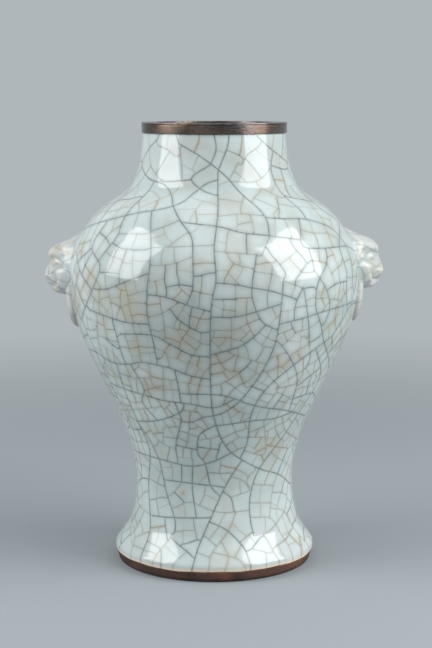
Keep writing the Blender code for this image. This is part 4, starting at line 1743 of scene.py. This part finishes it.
    def front(self, turn: Array, climb: Array) -> Array:
        """Return the sprig's face: the body's point, moved out along X by the relief.

        Args:
            turn: Turn of each place, in radians.
            climb: Its climb.

        Returns:
            The points of the face.
        """
        points = on_body(turn, climb)
        points[..., 0] += self.side * self.relief(points[..., 1] * self.side, points[..., 2] - self.middle)
        return points

    def back(self, turn: Array, climb: Array) -> Array:
        """Return the sprig's back, a little under the body's face.

        Args:
            turn: Turn of each place, in radians.
            climb: Its climb.

        Returns:
            The points of the back.
        """
        points = on_body(turn, climb)
        points[..., 0] -= self.side * self.sunk
        return points

    def on_map(self, across: Array, up: Array) -> Array:
        """Return places across and up from the mask's middle as turn and climb.

        Args:
            across: Distance across from the mask's middle.
            up: Distance up from it.

        Returns:
            The same places on the map.
        """
        height = self.middle + up
        lean = np.arcsin(np.clip(across / CURVE.radius(height), -1, 1))
        return np.stack([self.side * math.pi / 2 + lean, CURVE.climb(height)], axis=-1)

    def outlines(self) -> list[Array]:
        """Return the mask's outline, and the two edges of the ring's strip from the mask round to it.

        Returns:
            The three paths, as points across and up.
        """
        turn = np.linspace(0, math.tau, 260)
        size = 1 / self.reach(np.cos(turn), np.sin(turn))
        paths = [np.stack([size * np.cos(turn), size * np.sin(turn)], axis=1)]
        for off in (self.strip + self.fade, -self.strip - self.fade):
            half_turn = np.linspace(0, math.pi, 120)
            wide, tall = self.ring_wide + off, self.ring_tall + off
            bottom = np.stack([wide * np.cos(half_turn), -self.hang - tall * np.sin(half_turn)], axis=1)
            arms = [[[side * wide, up] for up in np.linspace(-9, -self.hang, 30)] for side in (1, -1)]
            paths.append(np.vstack([arms[0][:-1], bottom, arms[1][-2::-1]]))
        return paths

    def run_off(self, across: Array, up: Array) -> tuple[Array, Array]:
        """Return how thin the glaze has run, and how dark the hollows are made, partly as pooled glaze and
        partly as painted shade.

        It is thin where the relief stands over its surroundings. Where the relief lies under them it is
        darkened, partly by the glaze's pooling and partly as painted shade.

        Args:
            across: Distance across from the mask's middle.
            up: Distance up from it.

        Returns:
            How thin, and how dark the hollow is made, from 0 to 1.
        """
        here = self.relief(across, up)
        around = sum(
            self.relief(across + 1.2 * math.cos(turn), up + 1.2 * math.sin(turn))
            for turn in np.arange(6) * math.tau / 6
        )
        stand = here - around / 6
        # The second value darkens the hollows, as painted shade and partly where the glaze pools.
        return np.clip(1.1 * stand + 0.05 * here / 13, 0, 1), np.clip(-3.5 * stand, 0, 1)

    def slab(self, net: Net, held: Array) -> list[Sheet]:
        """Return the face, the back and the edge of the held part of the net.

        Args:
            net: The net round the sprig.
            held: Which triangles are held.

        Returns:
            The three sheets.
        """
        part = net.cut(held)
        faces = part.faces
        turn, climb = part.points.T
        across, up = self.spots(turn, climb)
        spread = np.stack([0.5 + across / 48, 0.66 + (up + 8) / 88], axis=-1)
        below = np.stack([0.5 + across / 96, 0.18 + (up + 8) / 190], axis=-1)
        normals = square_to(self.front, turn, climb)
        inward = -square_to(on_body, turn, climb)
        # This carries the painted shade of the hollows into the glaze's shade channel.
        worn = self.crackle.worn_by(part, *self.run_off(across, up))
        front = Sheet(self.front(turn, climb), faces, normals[faces], spread[faces], 0, *worn)
        back = Sheet(self.back(turn, climb), faces[:, ::-1], inward[faces[:, ::-1]], below[faces[:, ::-1]])
        edges = np.vstack([faces[:, [0, 1]], faces[:, [1, 2]], faces[:, [2, 0]]])
        known = set(map(tuple, edges.tolist()))
        rim = np.array([edge for edge in edges.tolist() if (edge[1], edge[0]) not in known])
        count = len(turn)
        quads = np.stack([rim[:, 0], rim[:, 0] + count, rim[:, 1] + count, rim[:, 1]], axis=1)
        points = np.vstack([front.points, back.points])
        a, b, c, _ = (points[quads[:, i]] for i in range(4))
        out = np.cross(b - a, c - b)
        out /= np.maximum(np.linalg.norm(out, axis=1, keepdims=True), 1e-12)
        share = np.arange(len(rim))[:, None] / len(rim) * 0.9
        across_map = np.concatenate([share, share, share + 0.9 / len(rim), share + 0.9 / len(rim)], axis=1)
        chart = np.stack([across_map + 0.05, np.tile([0.012, 0.004, 0.004, 0.012], (len(rim), 1))], axis=-1)
        edge = Sheet(points, quads, np.repeat(out[:, None, :], 4, axis=1), chart)
        return [front, back, edge]

    def pieces(self) -> list[Piece]:
        """Return the mask and the mock ring.

        Returns:
            The two pieces, the mask first.
        """
        quarter = self.side * math.pi / 2
        low, high = CURVE.climb(np.array([self.middle - 37, self.middle + 19.5]))
        knitter = Knitter(
            self.crackle, self.front, (quarter - 0.33, quarter + 0.33, float(low), float(high)), 0.0045, 0.004
        )
        for path in self.outlines():
            knitter.put(self.on_map(*path.T), np.zeros(2), True)
        for number, crack in enumerate(self.crackle.cracks[4:], start=5):
            knitter.draw(crack, number)
        knitter.fill()
        net = knitter.knit()
        across, up = self.spots(*net.middles().T)
        on_mask = self.reach(across, up) < 1
        on_ring = ~on_mask & (self.off_ring(across, up) < self.strip + self.fade)
        side = "right" if self.side > 0 else "left"
        made = []
        for title, held in (("lion_mask", on_mask), ("mock_ring", on_ring)):
            node = f"{title}_{side}"
            made.append(Piece(f"{node}_glazed", (node,), "mask_glaze", self.slab(net, held)))
        return made


@dataclass
class RimBand:
    """The thin metal band bedded over the lip, with a rolled edge at its top.

    Attributes:
        outer: Radius of its outside.
        inner: Radius of its inner skirt.
        low: Height of its lower edge.
        top: Height of its top.
        skirt: Height of the inner skirt's lower edge.
        gauge: Thickness of the metal.
        bead: Radius of the rolled edge.
        columns: Steps round the axis.
    """

    outer: float = 41.0
    inner: float = 33.02
    low: float = 244.1
    top: float = 250.0
    skirt: float = 245.0
    gauge: float = 0.85
    bead: float = 0.6
    columns: int = 360

    def section(self) -> Array:
        """Return the closed section: up the outside, over the roll, across the top and back under.

        Returns:
            Its points, the last the same as the first.
        """
        middle = self.top - self.bead
        wall = self.outer - 0.12
        rise = np.array([[wall, self.low + 0.2], [wall, middle - self.bead - 0.45]])
        run = smooth_path(rise, 0.45).tolist()
        run += arc((wall - 0.25, middle - self.bead - 0.2), 0.25, 0, 80, 3)[1:]
        run += arc((self.outer - self.bead, middle), self.bead, -62, 90, 12)
        run += smooth_path(np.array([run[-1], [self.inner + self.bead, self.top]]), 0.9).tolist()[1:]
        run += arc((self.inner + self.bead, middle), self.bead, 90, 180, 6)[1:]
        run += [[self.inner, self.skirt + 0.1], [self.inner + 0.1, self.skirt]]
        run += [[self.inner + self.gauge, self.skirt], [self.inner + self.gauge, self.top - self.gauge]]
        run += [[self.outer - self.gauge, self.top - self.gauge], [self.outer - self.gauge, self.low]]
        run += [[wall - 0.2, self.low], [wall, self.low + 0.2]]
        return np.array(run)

    def hammered(self, turn: Array, height: Array) -> Array:
        """Return the band's unevenness from being worked by hand: slow waves round it."""
        wave = 0.045 * np.sin(5 * turn + 0.6) + 0.03 * np.sin(11 * turn + 2.0)
        return wave + 0.015 * np.sin(27 * turn + height * 0.9) - 0.05

    def piece(self) -> Piece:
        """Return the band."""
        band = turned(self.section(), self.columns, 0, (0.01, 0.99), self.hammered)
        return Piece("rim_band_patinated", ("rim_band",), "rim_metal", [band])


def linear(code: str) -> tuple[float, float, float, float]:
    """Return a screen colour, written as six hex digits, in linear light."""
    parts = [int(code[i : i + 2], 16) / 255 for i in (0, 2, 4)]
    return (*(p / 12.92 if p <= 0.04045 else ((p + 0.055) / 1.055) ** 2.4 for p in parts), 1.0)


@dataclass
class Bench:
    """A node tree being put together.

    Attributes:
        tree: The tree.
    """

    tree: bpy.types.NodeTree

    def add(self, kind: str, feeds: Feeds = (), **settings: object) -> bpy.types.Node:
        """Add a node with its settings and links.

        Args:
            kind: The node's type, without the ShaderNode in front.
            feeds: What goes into its inputs, in their order or by name or number. A node goes in by its
                first output, and text is a screen colour.
            settings: The node's own settings.

        Returns:
            The node.
        """
        node = self.tree.nodes.new(f"ShaderNode{kind}")
        for key, value in settings.items():
            setattr(node, key, value)
        self.feed(node, feeds)
        return node

    def feed(self, node: bpy.types.Node, feeds: Feeds) -> None:
        """Fill a node's inputs.

        Args:
            node: The node.
            feeds: What goes in, as in `add`.
        """
        for key, value in feeds.items() if isinstance(feeds, dict) else enumerate(feeds):
            if isinstance(value, bpy.types.Node):
                value = value.outputs[0]
            if isinstance(value, bpy.types.NodeSocket):
                self.tree.links.new(value, node.inputs[key])
            else:
                node.inputs[key].default_value = linear(value) if isinstance(value, str) else value


class MaterialBench(Bench):
    """A material being made.

    Attributes:
        material: The material.
        shader: Its shader.
        output: Its output, which the shader is linked to.
        place: The piece's Object coordinates.
    """

    def __init__(self, name: str) -> None:
        """Start the material with one shader.

        Args:
            name: The material's name.
        """
        self.material = bpy.data.materials.new(name)
        self.material.use_nodes = True
        super().__init__(self.material.node_tree)
        self.tree.nodes.clear()
        self.shader = self.add("BsdfPrincipled")
        self.output = self.add("OutputMaterial", {"Surface": self.shader})
        self.place = self.add("TexCoord").outputs["Object"]

    def grain(self, size: float, detail: float = 3.0, rough: float = 0.5) -> dict[str, Feed]:
        """Return what goes into a noise whose blotches are about a size across, in millimetres."""
        return {"Vector": self.place, "Scale": 1000 / size, "Detail": detail, "Roughness": rough}

    def blotches(
        self,
        size: float,
        low: float,
        high: float,
        to: tuple[float, float] = (0.0, 1.0),
        detail: float = 3.0,
        rough: float = 0.5,
    ) -> bpy.types.Node:
        """Make a strength that changes in blotches: noise, run smoothly from one strength to another.

        Args:
            size: How far across a blotch is, in millimetres.
            low: The noise's level where the first strength is reached.
            high: Its level where the second one is.
            to: The two strengths.
            detail: How many finer layers the noise has.
            rough: How strong those are.

        Returns:
            The node that gives the strength.
        """
        noise = self.add("TexNoise", self.grain(size, detail, rough))
        return self.add("MapRange", (noise, low, high, *to), **SMOOTH)

    def laid(self, base: Feed, *layers: tuple[Feed, ...]) -> bpy.types.NodeSocket:
        """Lay tints over a base colour, one after the other.

        Args:
            base: The base.
            layers: For each one its tint, and then its share. Further shares are multiplied with that.

        Returns:
            The colour that comes out.
        """
        for tint, share, *others in layers:
            for other in others:
                share = self.add("Math", (share, other), operation="MULTIPLY")
            base = self.add("Mix", {0: share, 6: base, 7: tint}, data_type="RGBA").outputs[2]
        return base

    def finish(
        self, base: Feed, rough: Feed, height: Feed, depth: float, others: dict[str, float] | None = None
    ) -> bpy.types.Material:
        """Give the shader what it needs.

        Args:
            base: The colour.
            rough: The roughness.
            height: The surface's relief.
            depth: What a height of 1 stands for, in millimetres.
            others: Constants for the shader's other inputs.

        Returns:
            The material.
        """
        relief = self.add("Bump", {"Height": height, "Distance": depth * MM, "Strength": 1.0})
        self.feed(self.shader, {"Base Color": base, "Roughness": rough, "Normal": relief, **(others or {})})
        return self.material


@dataclass(frozen=True)
class CrackleGlaze:
    """Thick glassy celadon-white glaze, cooled until it crackled, and stained grey and gold.

    It gives the eye a cool depth with soft blotches in it, sharp highlights, and lines under the surface.
    """

    name: str = "crackle glaze"
    pale: str = "D4DEDB"
    deep: str = "BDCAC7"
    cloud: str = "E6EBEC"
    warm: str = "B9B3A6"
    milk: str = "DCE6E8"
    thin: str = "F0DFC8"
    stain: str = "C0B28E"
    shade: str = "7D8A8C"
    gold: str = "8A7158"
    iron: str = "5C6767"
    burnt: str = "AC8A55"
    speck: str = "5A4A3C"
    gloss: tuple[float, float] = (0.06, 0.11)

    def build(self) -> bpy.types.Material:
        """Make the material.

        Returns:
            The material.
        """
        bench = MaterialBench(self.name)
        read = []
        for title in ("crackle", "veil"):
            attribute = bench.add("Attribute", attribute_name=title)
            read += bench.add("SeparateXYZ", (attribute.outputs["Vector"],)).outputs
        iron, gold, stain, shade, thin, burn = read
        patch = bench.add("TexNoise", bench.grain(15, 1.0))
        broken = bench.blotches(3.2, 0.25, 0.6, (0.72, 1.0))
        cells = bench.add("TexVoronoi", {"Vector": bench.place, "Scale": 110.0})
        rare = bench.add("SeparateXYZ", (cells.outputs["Color"],)).outputs[0]
        base = bench.laid(
            self.deep,
            # Slow drifts of tint, where the glaze lies thicker or thinner over the clay.
            (self.pale, bench.blotches(52, 0.36, 0.66, detail=2.0)),
            # Faint clouds a few millimetres across, from bubbles under the surface.
            (self.cloud, bench.blotches(7, 0.3, 0.75, (0.0, 0.16), 5.0, 0.6)),
            # Patches about a cell across where it is greyer and warmer, or milkier.
            (self.warm, bench.add("MapRange", (patch, 0.5, 0.72, 0.0, 0.30), **SMOOTH)),
            (self.milk, bench.add("MapRange", (patch, 0.5, 0.3, 0.0, 0.30), **SMOOTH)),
            # Where the fire has burnt it, yellow to orange.
            (self.burnt, burn, bench.blotches(3.5, 0.36, 0.62, (0.15, 1.0), 4.0, 0.6)),
            # The warm stain that has crept out of the golden cracks, more in some places than in others.
            (
                self.stain,
                bench.blotches(30, 0.38, 0.62, (0.35, 1.0), 1.5),
                bench.add("MapRange", (stain, 0.0, 1.0, 0.0, 0.5), **SMOOTH),
            ),
            # The grey of the dark cracks, seen through the glaze on both sides of them; on the sprigs also
            # painted shade in the hollows, partly where the glaze has pooled.
            (self.shade, shade, 0.34),
            # Thin glaze, where the pinkish clay shows through.
            (self.thin, thin),
            # The crack lines themselves, their strength broken up a little along the way.
            (self.gold, gold, broken),
            (self.iron, iron, broken),
            # Specks of iron burnt out of the clay, a few to a hand's breadth.
            (
                self.speck,
                bench.add("MapRange", (cells, 0.05, 0.085, 1.0, 0.0), **SMOOTH),
                bench.add("MapRange", (rare, 0.93, 0.95, 0.0, 0.7), **SMOOTH),
            ),
        )
        # The glaze ran and set a little wavy, and dips where it has cracked.
        line = bench.add("Math", (iron, gold), operation="ADD")
        dips = bench.add("Math", (line, 0.04), operation="MULTIPLY")
        pits = bench.add("TexNoise", bench.grain(0.9, 2.0))
        pits = bench.add("Math", (pits, 0.03), operation="MULTIPLY")
        waves = bench.add("TexNoise", bench.grain(16, 1.5))
        height = bench.add("Math", (waves, pits), operation="ADD")
        height = bench.add("Math", (height, dips), operation="SUBTRACT")
        dull = bench.add("Math", (line, 0.06), operation="MULTIPLY")
        rough = bench.add("Math", (bench.blotches(22, 0.3, 0.7, self.gloss), dull), operation="ADD")
        return bench.finish(base, rough, height, 0.2, {"IOR": 1.62})


@dataclass(frozen=True)
class InnerGlaze:
    """The same glaze where it was swilled round the inside and the base: thinner, plainer and duller."""

    name: str = "inner glaze"
    pale: str = "C2CDC9"
    deep: str = "AEBBB8"
    iron: str = "4B4F4B"

    def build(self) -> bpy.types.Material:
        """Make the material, its cracks the bent edges of cells about 16 mm across.

        Returns:
            The material.
        """
        bench = MaterialBench(self.name)
        sway = bench.add("TexNoise", {"Vector": bench.place, "Scale": 60.0, "Detail": 2.0}).outputs["Color"]
        sway = bench.add("VectorMath", {0: sway, "Scale": 0.006}, operation="SCALE")
        bent = bench.add("VectorMath", (bench.place, sway))
        cells = {"Vector": bent, "Scale": 62.0, "Randomness": 0.95}
        cracks = bench.add("TexVoronoi", cells, feature="DISTANCE_TO_EDGE")
        base = bench.laid(
            self.deep,
            (self.pale, bench.blotches(40, 0.35, 0.65, detail=2.0)),
            (self.iron, bench.add("MapRange", (cracks, 0.004, 0.022, 0.7, 0.0), **SMOOTH)),
        )
        rough = bench.blotches(12, 0.3, 0.7, (0.14, 0.26))
        return bench.finish(base, rough, bench.add("TexNoise", bench.grain(14)), 0.3)


@dataclass(frozen=True)
class Biscuit:
    """Bare stoneware of the foot: matt, burnt iron-brown, with turning marks and grit, and a painted shadow
    along its lowest edge.
    """

    name: str = "bare stoneware"
    dark: str = "46332C"
    warm: str = "69483D"
    flush: str = "97603F"
    pores: str = "3A2B25"
    grit: str = "A58A78"
    seam: str = "B98A5C"
    # worn is a painted contact shadow for the foot's lowest edge, not wear.
    worn: str = "241A17"

    def build(self) -> bpy.types.Material:
        """Make the material.

        Returns:
            The material.
        """
        bench = MaterialBench(self.name)
        height = bench.add("SeparateXYZ", (bench.place,)).outputs[2]
        base = bench.laid(
            self.dark,
            (self.warm, bench.blotches(18, 0.35, 0.65)),
            (self.flush, bench.blotches(30, 0.52, 0.72, (0.0, 0.5), 2.0)),
            (self.pores, bench.blotches(0.7, 0.56, 0.70, (0.0, 0.5))),
            (self.grit, bench.blotches(0.8, 0.64, 0.76, (0.0, 0.22), 2.0)),
            # The orange flush that fire leaves along the glaze's edge.
            (
                self.seam,
                bench.add("MapRange", (height, 0.0050, 0.0062, 0.0, 0.45), **SMOOTH),
                bench.blotches(9, 0.38, 0.6, detail=2.0),
            ),
            # Its lowest edge, darkened with a painted contact shadow where the foot meets the floor.
            (self.worn, bench.add("MapRange", (height, 0.0004, 0.0026, 0.75, 0.0), **SMOOTH)),
        )
        turning = {"Vector": bench.place, "Scale": 190.0, "Distortion": 3.0, "Detail": 2.0}
        marks = bench.add("TexWave", turning, bands_direction="Z").outputs["Fac"]
        marks = bench.add("Math", (marks, 0.25), operation="MULTIPLY")
        relief = bench.add("Math", (marks, bench.add("TexNoise", bench.grain(0.8))), operation="ADD")
        return bench.finish(base, bench.blotches(3.0, 0.3, 0.7, (0.62, 0.85)), relief, 0.12)


@dataclass(frozen=True)
class PatinatedCopper:
    """Sheet copper gone dark brown, with lilac-grey tarnish and worn places that catch the light."""

    name: str = "patinated copper"
    dark: str = "463F3A"
    warm: str = "705848"
    bloom: str = "84818A"
    worn: str = "9A928F"

    def build(self) -> bpy.types.Material:
        """Make the material.

        Returns:
            The material.
        """
        bench = MaterialBench(self.name)
        streaks = bench.add("Mapping", {"Vector": bench.place, "Scale": (1.0, 1.0, 7.0)})
        fine = bench.add("TexNoise", {"Vector": streaks, "Scale": 260.0, "Detail": 4.0, "Roughness": 0.65})
        height = bench.add("SeparateXYZ", (bench.place,)).outputs[2]
        base = bench.laid(
            self.dark,
            (self.warm, bench.blotches(11, 0.35, 0.68)),
            # Tarnish in streaks along the band, as the cloth that polishes it goes round.
            (
                self.bloom,
                bench.add("MapRange", (fine, 0.42, 0.7, 0.0, 1.0), **SMOOTH),
                bench.blotches(17, 0.4, 0.65),
                0.7,
            ),
            # Handling has rubbed the rolled edge at the top.
            (
                self.worn,
                bench.add("MapRange", (height, 0.2487, 0.2500, 0.0, 0.75), **SMOOTH),
                bench.blotches(4.0, 0.3, 0.65, detail=4.0),
            ),
        )
        rough = bench.add("MapRange", (fine, 0.3, 0.7, 0.24, 0.38), **SMOOTH)
        uneven = bench.add("Math", (fine, bench.add("TexNoise", bench.grain(5))), operation="ADD")
        # Wax and handling have left a thin gloss over the metal.
        others = {"Metallic": 1.0, "Coat Weight": 0.5, "Coat Roughness": 0.25}
        return bench.finish(base, rough, uneven, 0.05, others)


@dataclass(frozen=True)
class BeddingCement:
    """The dull resinous cement that holds the band, seen only as a thin line under it."""

    name: str = "bedding cement"
    dark: str = "5A4E45"
    pale: str = "77695C"

    def build(self) -> bpy.types.Material:
        """Make the material.

        Returns:
            The material.
        """
        bench = MaterialBench(self.name)
        base = bench.laid(self.dark, (self.pale, bench.blotches(2.5, 0.35, 0.65, detail=4.0)))
        return bench.finish(base, 0.85, bench.add("TexNoise", bench.grain(0.6)), 0.1)


@dataclass(frozen=True)
class FiredSlip:
    """Clay slip fired on the inside joints, matt and slightly gritty."""

    name: str = "fired slip"
    dark: str = "A79C8C"
    pale: str = "BDB3A3"
    grit: str = "7B6C5C"

    def build(self) -> bpy.types.Material:
        """Make the material.

        Returns:
            The material.
        """
        bench = MaterialBench(self.name)
        base = bench.laid(
            self.dark,
            (self.pale, bench.blotches(6, 0.35, 0.65, detail=4.0)),
            (self.grit, bench.blotches(0.8, 0.6, 0.72, (0.0, 0.5), 2.0)),
        )
        return bench.finish(base, 0.8, bench.add("TexNoise", bench.grain(1.0)), 0.2)


@dataclass(frozen=True)
class StudioPaper:
    """Pale grey paper: matt under the vase, where it takes its shadow, and evenly pale further off."""

    name: str = "studio paper"
    tint: str = "9FA6AA"
    fleck: str = "959CA1"
    far: str = "B0B7BB"

    def build(self) -> bpy.types.Material:
        """Make the material, which glows to the eye and to reflections the further it is from the vase.

        Returns:
            The material.
        """
        bench = MaterialBench(self.name)
        tint = bench.laid(self.tint, (self.fleck, bench.blotches(1.2, 0.3, 0.7, (0.0, 0.25))))
        bench.feed(bench.shader, {"Base Color": tint, "Roughness": 0.9})
        rays = bench.add("LightPath").outputs
        seen = bench.add("Math", (rays["Is Camera Ray"], rays["Is Glossy Ray"]), operation="MAXIMUM")
        away = bench.add("VectorMath", (bench.place,), operation="LENGTH").outputs["Value"]
        away = bench.add("MapRange", (away, 0.22, 0.9, 0.0, 1.0), **SMOOTH)
        share = bench.add("Math", (seen, away), operation="MULTIPLY")
        glow = bench.add("Emission", {"Color": self.far, "Strength": 1.0})
        both = bench.add("MixShader", (share, bench.shader, glow))
        bench.feed(bench.output, {"Surface": both})
        return bench.material


@dataclass
class Studio:
    """The floor, two soft boxes, a dim room and the camera.

    Attributes:
        eye: The camera's place.
        tilt: How far it looks down, in degrees.
        lens: Its focal length.
        frame_high: The height of its frame, both in millimetres.
        clip: The nearest and furthest distance that it sees.
        aim: The place that the soft boxes face.
        boxes: Turn from the front and height over the horizon of each soft box, in degrees, then its
            power, its width and its height.
        box_away: Its distance from there.
        paper: Half the width of the paper, its depth behind the vase, the radius of its sweep, and its
            height behind.
        room: Strength of the light from all round, at the horizon and overhead.
        daylight: Colour of that light.
    """

    eye: tuple[float, float, float] = (0.001, -0.86973, 0.265)
    tilt: float = 8.4795
    lens: float = 85.36
    frame_high: float = 36.0
    clip: tuple[float, float] = (0.05, 20.0)
    aim: tuple[float, float, float] = (0.0, 0.0, 0.15)
    boxes: tuple[tuple[float, ...], ...] = ((-74.0, 28.0, 3.9, 0.46, 0.64), (69.0, 28.0, 5.5, 0.57, 0.67))
    box_away: float = 0.78
    paper: tuple[float, float, float, float] = (3.0, 1.1, 0.5, 2.5)
    room: tuple[float, float] = (0.10, 0.85)
    daylight: str = "F2F7FC"

    def lay_floor(self) -> None:
        """Lay the paper: flat under the vase, swept up behind it in a quarter circle, then upright."""
        wide, depth, radius, high = self.paper
        turn = np.linspace(0, math.pi / 2, 25)
        y = np.concatenate([[-wide], depth + radius * np.sin(turn), [depth + radius]])
        z = np.concatenate([[0.0], radius * (1 - np.cos(turn)), [high]])
        rows = len(y)
        points = [(side * wide, a, b) for side in (-1, 1) for a, b in zip(y.tolist(), z.tolist())]
        faces = [(k, k + rows, k + rows + 1, k + 1) for k in range(rows - 1)]
        mesh = bpy.data.meshes.new("paper_sweep")
        mesh.from_pydata(points, [], faces)
        mesh.polygons.foreach_set("use_smooth", np.ones(len(faces), dtype=bool))
        mesh.materials.append(StudioPaper().build())
        floor = placed(mesh)

    def hang_lights(self) -> None:
        """Hang the soft boxes on both sides, turned to the vase."""
        for number, (turn, rise, power, wide, tall) in enumerate(self.boxes):
            lamp = bpy.data.lights.new(f"soft_box_{number}", "AREA")
            lamp.shape = "RECTANGLE"
            lamp.size, lamp.size_y = wide, tall
            lamp.energy = power
            turn, rise = math.radians(turn), math.radians(rise)
            way = Vector((math.sin(turn) * math.cos(rise), -math.cos(turn) * math.cos(rise), math.sin(rise)))
            box = placed(lamp)
            box.location = Vector(self.aim) + way * self.box_away
            box.rotation_euler = way.to_track_quat("Z", "Y").to_euler()

    def fill_room(self) -> None:
        """Give the room a soft light from above, and a pale wall that only the eye and reflections see.

        The light's strength rises evenly with the upward part of the direction that it comes from.
        """
        world = bpy.data.worlds.new("room")
        bpy.context.scene.world = world
        world.use_nodes = True
        bench = Bench(world.node_tree)
        bench.tree.nodes.clear()
        rays = bench.add("LightPath").outputs
        seen = bench.add("Math", (rays["Is Camera Ray"], rays["Is Glossy Ray"]), operation="MAXIMUM")
        way = bench.add("SeparateXYZ", (bench.add("TexCoord").outputs["Generated"],)).outputs["Z"]
        rise = bench.add("MapRange", (way, 0.0, 1.0, *self.room))
        lights = bench.add("Background", {"Color": self.daylight, "Strength": rise})
        wall = bench.add("Background", {"Color": StudioPaper.far})
        bench.add("OutputWorld", {"Surface": bench.add("MixShader", (seen, lights, wall))})

    def set_camera(self) -> None:
        """Stand the camera where the picture is taken from."""
        data = bpy.data.cameras.new("camera")
        data.sensor_fit = "VERTICAL"
        data.sensor_height = self.frame_high
        data.lens = self.lens
        data.clip_start, data.clip_end = self.clip
        camera = placed(data)
        camera.location = self.eye
        camera.rotation_euler = (math.radians(90 - self.tilt), 0.0, 0.0)
        bpy.context.scene.camera = camera
        bpy.context.scene.view_settings.view_transform = "Standard"

    def set_up(self) -> None:
        """Set up everything round the vase."""
        self.lay_floor()
        self.hang_lights()
        self.fill_room()
        self.set_camera()


def dress_carried(names: Sequence[str], finish: bpy.types.Material) -> None:
    """Give some of the CAD's own nodes a finish; their meshes stay as they are.

    Args:
        names: The nodes' names.
        finish: The finish.
    """
    for name in names:
        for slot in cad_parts[name].material_slots:
            slot.link = "OBJECT"
            slot.material = finish
        LOG.info("%s: carried over, %s", name, finish.name)


def main() -> None:
    """Fire the glaze, build the pieces in order, dress them and set up the studio."""
    logging.basicConfig(level=logging.INFO, format="%(message)s")
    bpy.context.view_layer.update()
    crackle = Crackle()
    crackle.fire()
    crackle.stained()
    LOG.info("crackle: %d cracks", len(crackle.cracks) - 4)
    body_finishes = [CrackleGlaze().build(), InnerGlaze().build(), Biscuit().build()]
    # The sprigs' glaze is paler and duller, as they were pressed, dipped and handled.
    sprig_glaze = CrackleGlaze(
        name="crackle glaze on the sprigs",
        pale="CCD4D3",
        thin="E2D8CE",
        iron="7F8686",
        gold="A0927C",
        # This grey also tints the masks' hollows as painted shade.
        shade="98A2A3",
        gloss=(0.20, 0.27),
    ).build()
    for piece in GlazedBody(crackle).pieces():
        piece.make(body_finishes)
    for sprig in (SideSprig(crackle, -1, 170.05), SideSprig(crackle, 1, 173.55)):
        for piece in sprig.pieces():
            piece.make([sprig_glaze])
    RimBand().piece().make([PatinatedCopper().build()])
    dress_carried(("rim_cement",), BeddingCement().build())
    dress_carried(("foot_slip_fillet", "belly_slip_fillet", "neck_slip_fillet"), FiredSlip().build())
    Studio().set_up()


if __name__ == "__main__":
    main()
